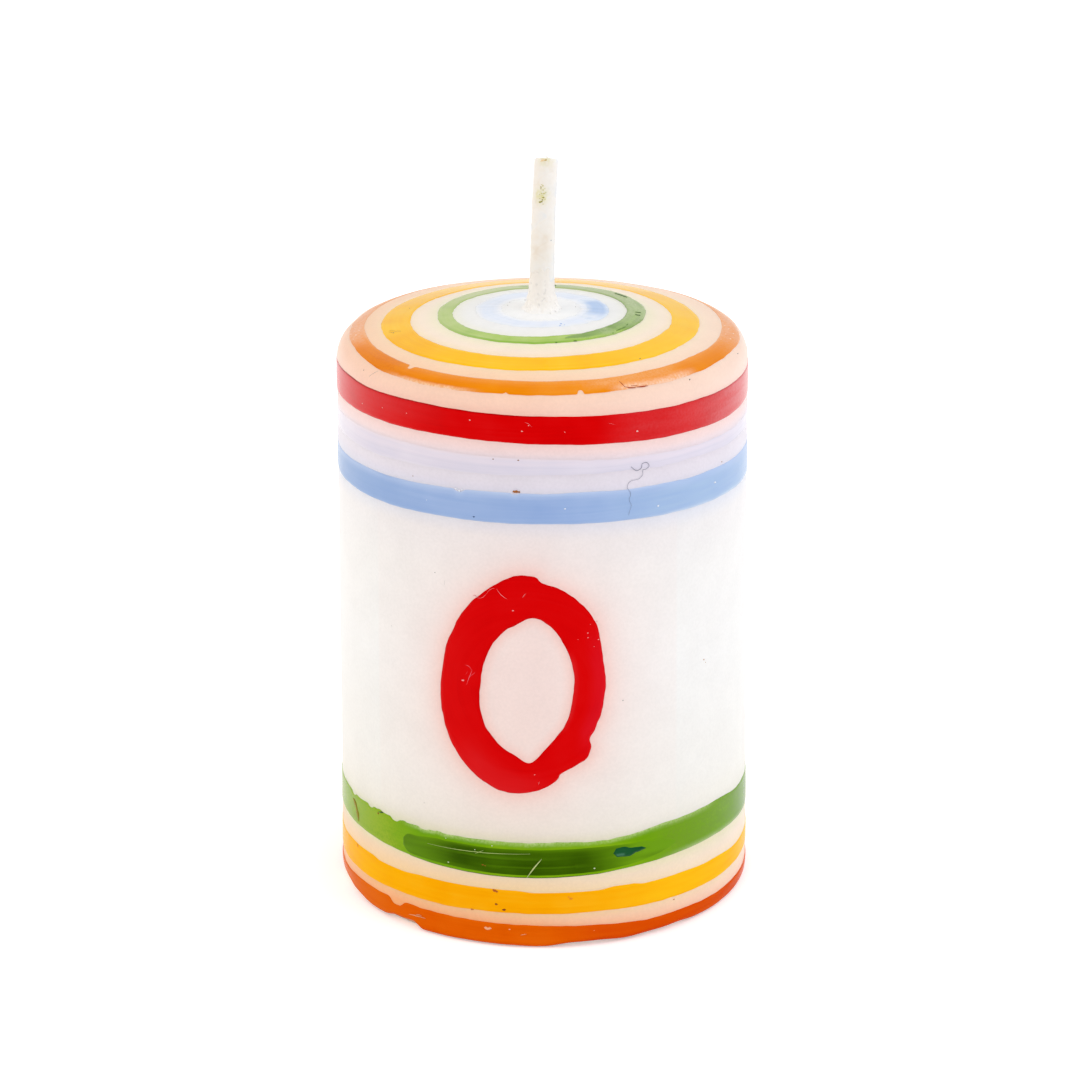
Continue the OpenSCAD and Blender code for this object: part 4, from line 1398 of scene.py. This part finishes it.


# Hairline scratches, and pale dashes of painted highlight on the foot: colour, lift, then start turn and p,
# end turn and p, bend and width in mm
scratches = [
    ("#e8a0a4", 0.05, [
        (-11.8, 31.2, -8.6, 31.85, -0.25, 0.09), (-8.8, 31.85, -6.8, 32.15, 0.06, 0.06),
        (-6.4, 32.15, -3.5, 31.3, -0.15, 0.1), (0.7, 31.5, 1.6, 31.85, 0, 0.09),
        (-11.8, 31.2, -13.0, 31.3, 0.1, 0.07), (4.7, 14.9, 5.1, 15.2, 0, 0.08),
        (1.6, 46.55, 3.4, 46.2, 0.08, 0.07), (24, 46.2, 26, 46.05, 0, 0.05),
    ]),
    ("#ec8494", 0.05, [
        (-15.4, 25.1, -13.4, 24.7, 0.2, 0.11), (-13.2, 24.8, -15.0, 23.4, 0.05, 0.17),
        (-12.4, 24.6, -14.2, 24.1, 0, 0.11), (-15.2, 24.3, -14.4, 24.6, 0, 0.07),
    ]),
    ("#b0aaa4", 0.0, [(-21.3, 32.3, -21.5, 31.85, 0, 0.08)]),
    ("#b9d07a", 0.1, [(-27.4, 8.33, 2.5, 8.62, -0.06, 0.07), (-12.8, 8.25, -10.4, 8.64, 0, 0.06)]),
    ("#cfdc94", 0.1, [(1.5, 6.4, 5.6, 8.15, 0.06, 0.12)]),
    ("#98881e", 0.08, [(-61.8, 8.95, -58.8, 8.2, 0.05, 0.62), (-59.4, 8.5, -57.8, 7.3, 0.0, 0.66)]),
    # Pale dashes on the foot: painted highlight lines
    ("#f2b88c", 0.15, [
        (-34, 1.2, -28.2, 1.3, 0.05, 0.1), (-31.5, 1.42, -29.5, 1.45, 0.02, 0.06),
        (-0.2, 1.15, 1.4, 1.25, 0, 0.06),
    ]),
    ("#b4461c", 0.07, [
        (29.4, 49.75, 30.2, 49.05, 0.0, 0.12), (30.0, 49.1, 33.4, 48.86, -0.04, 0.1),
        (33.8, 48.9, 37.2, 48.84, 0, 0.12), (32.2, 49.1, 34.0, 49.0, 0, 0.07),
    ]),
    ("#a08c84", 0.0, [(-49.9, 48.05, -47.6, 48.75, 0.06, 0.07)]),
    ("#3c5a2c", 0.1, [
        (129.5, 57.12, 139.5, 57.2, 0.0, 0.24), (96.1, 57.45, 95.9, 57.9, 0, 0.14),
        (90.6, 57.45, 90.5, 57.9, 0, 0.16),
    ]),
    ("#5f8a34", 0.1, [
        (56, 57.68, 61, 57.68, 0, 0.12), (61.5, 57.66, 65.5, 57.68, 0, 0.1), (68, 57.78, 71, 57.84, 0, 0.1),
    ]),
    ("#36521f", 0.06, [(-46.6, 9.45, -44.4, 9.6, 0.0, 0.2)]),
    ("#9a5c10", 0.05, [
        (-73.5, 52.7, -70, 53.2, 0.1, 0.09), (-71.5, 53.3, -69.5, 53.55, -0.1, 0.08),
        (-72, 52.6, -70.5, 52.75, 0.1, 0.07),
    ]),
]
# A scratch is a low ridge that narrows to its ends
scratchShape = {
    "steps": 16,
    "wander": 0.02,        # mm
    "ends": 0.25,          # width of its ends, in shares of the middle's
    "sink": 0.04,          # mm, of its sides
    "high": 0.012,
}


def makeScratches(groups, shape, material):
    verts, faces, tones = [], [], []
    for tone, lift, lines in groups:
        for turn0, p0, turn1, p1, bend, width in lines:
            loops = []
            for i in range(shape["steps"] + 1):
                t = i / shape["steps"]
                turn = turn0 + (turn1 - turn0) * t
                p = p0 + (p1 - p0) * t + bend * math.sin(math.pi * t)
                p += shape["wander"] * noise.noise(Vector((turn, p0, 1)))
                middle, right, up = frameOnCandle(p, turn, lift)
                ahead = right * math.radians(turn1 - turn0) * section["brushR"] + up * (p1 - p0)
                out = right.cross(up)
                side = out.cross(ahead).normalized()
                wide = width / 2 * (shape["ends"] + (1 - shape["ends"]) * math.sin(math.pi * t))
                sunk = out * shape["sink"] * mm
                loops.append([middle + side * wide * mm - sunk, middle + out * shape["high"] * mm,
                              middle - side * wide * mm - sunk])
            addStrip(verts, faces, loops)
            tones += [toLinear(tone)] * (len(verts) - len(tones))
    makePiece("hairline_scratches", verts, faces, material, (), {"crumbTone": tones})


# A fibre shed by the wick, stuck to the wall in a curl: turn and p along it
strayFibre = {
    "path": [
        (30.65, 42.25), (32.2, 41.85), (33.7, 42.0), (33.95, 42.35), (35.3, 42.4), (36.1, 42.1),
        (35.3, 41.85), (34.1, 41.8), (34.1, 41.4), (32.8, 41.1), (30.8, 41.05), (29.8, 40.85), (29.5, 40.5),
        (30.5, 39.95), (30.0, 39.45), (30.65, 38.95), (30.2, 38.5), (29.8, 38.05),
    ],
    "thick": 0.024,
    "lift": 0.06,
    "steps": 5,            # between two points
    "colour": "#878a9c",
}


def makeStrayFibre(fibre, material):
    verts, faces, line = [], [], []
    path, steps = fibre["path"], fibre["steps"]
    for i in range(len(path) - 1):
        corners = [Vector(path[min(max(i + k, 0), len(path) - 1)]) for k in (-1, 0, 1, 2)]
        line += [curvePoint(*corners, k / steps) for k in range(steps)]
    addFibre(verts, faces, [onCandle(s.y, s.x, fibre["lift"]) / mm for s in line], fibre["thick"])
    makePiece("stray_wick_fibre", verts, faces, material, (),
              {"crumbTone": [toLinear(fibre["colour"])] * len(verts)})


crumbs = makeFleckMaterial()
makeStrayFibre(strayFibre, crumbs)
makeFlecks(strayFlecks, wickFlecks, crumbs)
makeScratches(scratches, scratchShape, crumbs)
print("flecks and scratches added")


# Tinned steel, pressed: bright, with rings of fine press marks
def dressTab():
    material, tree = newMaterial("pressed tinned steel")
    where = addNode(tree, "TexCoord")
    # Press marks 0.8 mm apart, in rings round the neck
    rings = addNode(tree, "TexWave", {"Vector": where.outputs["Object"], "Scale": 400.0, "Distortion": 1.5,
                                      "Detail": 2.0}, wave_type="RINGS", rings_direction="Z")
    bump = addNode(tree, "Bump", {"Height": rings.outputs["Fac"], "Strength": 0.15, "Distance": 0.03 * mm})
    # Patches of 2 mm where the tin has dulled
    bloom = addNode(tree, "TexNoise", {"Vector": where.outputs["Object"], "Scale": 500.0, "Detail": 3.0})
    dull = addNode(tree, "MapRange", {"Value": bloom.outputs["Fac"], "To Min": 0.22, "To Max": 0.45})
    tone = fillRamp(addNode(tree, "ValToRGB", {"Fac": bloom.outputs["Fac"]}),
                    [(0.3, "#b9bcc0"), (0.7, "#cfd1d3")])
    steel = addNode(tree, "BsdfPrincipled", {
        "Base Color": tone.outputs["Color"], "Metallic": 1.0, "Roughness": dull.outputs["Result"],
        "Normal": bump.outputs["Normal"],
    })
    addNode(tree, "OutputMaterial", {"Surface": steel.outputs["BSDF"]})
    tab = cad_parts["wick_tab"]
    tab.data.materials.clear()
    tab.data.materials.append(material)


dressTab()
print("tab dressed")

# White table and a white tent round it, a little darker on the camera's side, with two soft boxes
studio = {
    "floorR": 3.0,           # metres
    "floorSides": 96,
    "floorDrop": 0.02,       # mm under the candle
    "floorColour": "#f7f7f6",
    "floorLift": 0.36,       # extra white that only the camera and reflections see
    "level": 1.1,            # of the tent's light
    "frontDim": 0.985,       # times that on the camera's side
    "frontFrom": (0.0, -1.0, 0.15),
    "frontFade": (-0.1, 0.9),
    "boxesAim": 0.025,       # metres up the candle
    "boxes": [
        {"name": "rightBox", "turn": 75, "rise": 40, "away": 0.6, "size": 0.35, "watts": 0.76,
         "colour": "#ebf2ff"},
        {"name": "leftBox", "turn": -80, "rise": 35, "away": 0.6, "size": 0.35, "watts": 0.54,
         "colour": "#fff0dc"},
    ],
}


# 1 for what the camera sees, whether straight, mirrored or through something clear
def seenByCamera(tree):
    light = addNode(tree, "LightPath")
    seen = light.outputs["Is Camera Ray"]
    for kind in ("Is Glossy Ray", "Is Transmission Ray"):
        seen = addNode(tree, "Math", {0: seen, 1: light.outputs[kind]}, operation="MAXIMUM").outputs[0]
    return seen


def makeStudio(s):
    material, tree = newMaterial("matt white table")
    extra = addNode(tree, "Math", {0: seenByCamera(tree), 1: s["floorLift"]}, operation="MULTIPLY")
    matt = addNode(tree, "BsdfDiffuse", {"Color": toLinear(s["floorColour"])})
    glow = addNode(tree, "Emission", {"Strength": extra.outputs[0]})
    both = addNode(tree, "AddShader", {0: matt.outputs[0], 1: glow.outputs[0]})
    addNode(tree, "OutputMaterial", {"Surface": both.outputs[0]})
    shape = bmesh.new()
    bmesh.ops.create_circle(shape, cap_ends=True, segments=s["floorSides"], radius=s["floorR"])
    mesh = bpy.data.meshes.new("table")
    shape.to_mesh(mesh)
    shape.free()
    mesh.materials.append(material)
    table = bpy.data.objects.new("table", mesh)
    table.location.z = -s["floorDrop"] * mm
    scene.collection.objects.link(table)

    world = bpy.data.worlds.new("whiteTent")
    world.use_nodes = True
    scene.world = world
    tree = world.node_tree
    tree.nodes.clear()
    where = addNode(tree, "TexCoord")
    front = addNode(tree, "VectorMath", {0: where.outputs["Generated"], 1: s["frontFrom"]},
                    operation="DOT_PRODUCT")
    dim = addNode(tree, "MapRange", {
        "Value": front.outputs["Value"], "From Min": s["frontFade"][0], "From Max": s["frontFade"][1],
        "To Min": s["level"], "To Max": s["level"] * s["frontDim"],
    }, interpolation_type="SMOOTHSTEP")
    tent = addNode(tree, "Background", {"Strength": dim.outputs["Result"]})
    white = addNode(tree, "Background", {"Strength": 1.0})
    pick = addNode(tree, "MixShader", {0: seenByCamera(tree), 1: tent.outputs[0], 2: white.outputs[0]})
    addNode(tree, "OutputWorld", {"Surface": pick.outputs[0]})

    for box in s["boxes"]:
        lamp = bpy.data.lights.new(box["name"], "AREA")
        lamp.size = box["size"]
        lamp.energy = box["watts"]
        lamp.color = toLinear(box["colour"])[:3]
        away = direction(box["turn"], box["rise"]) * box["away"]
        holder = bpy.data.objects.new(box["name"], lamp)
        holder.location = away + Vector((0, 0, s["boxesAim"]))
        holder.rotation_euler = away.to_track_quat("Z", "Y").to_euler()
        scene.collection.objects.link(holder)


makeStudio(studio)
print("studio lit")
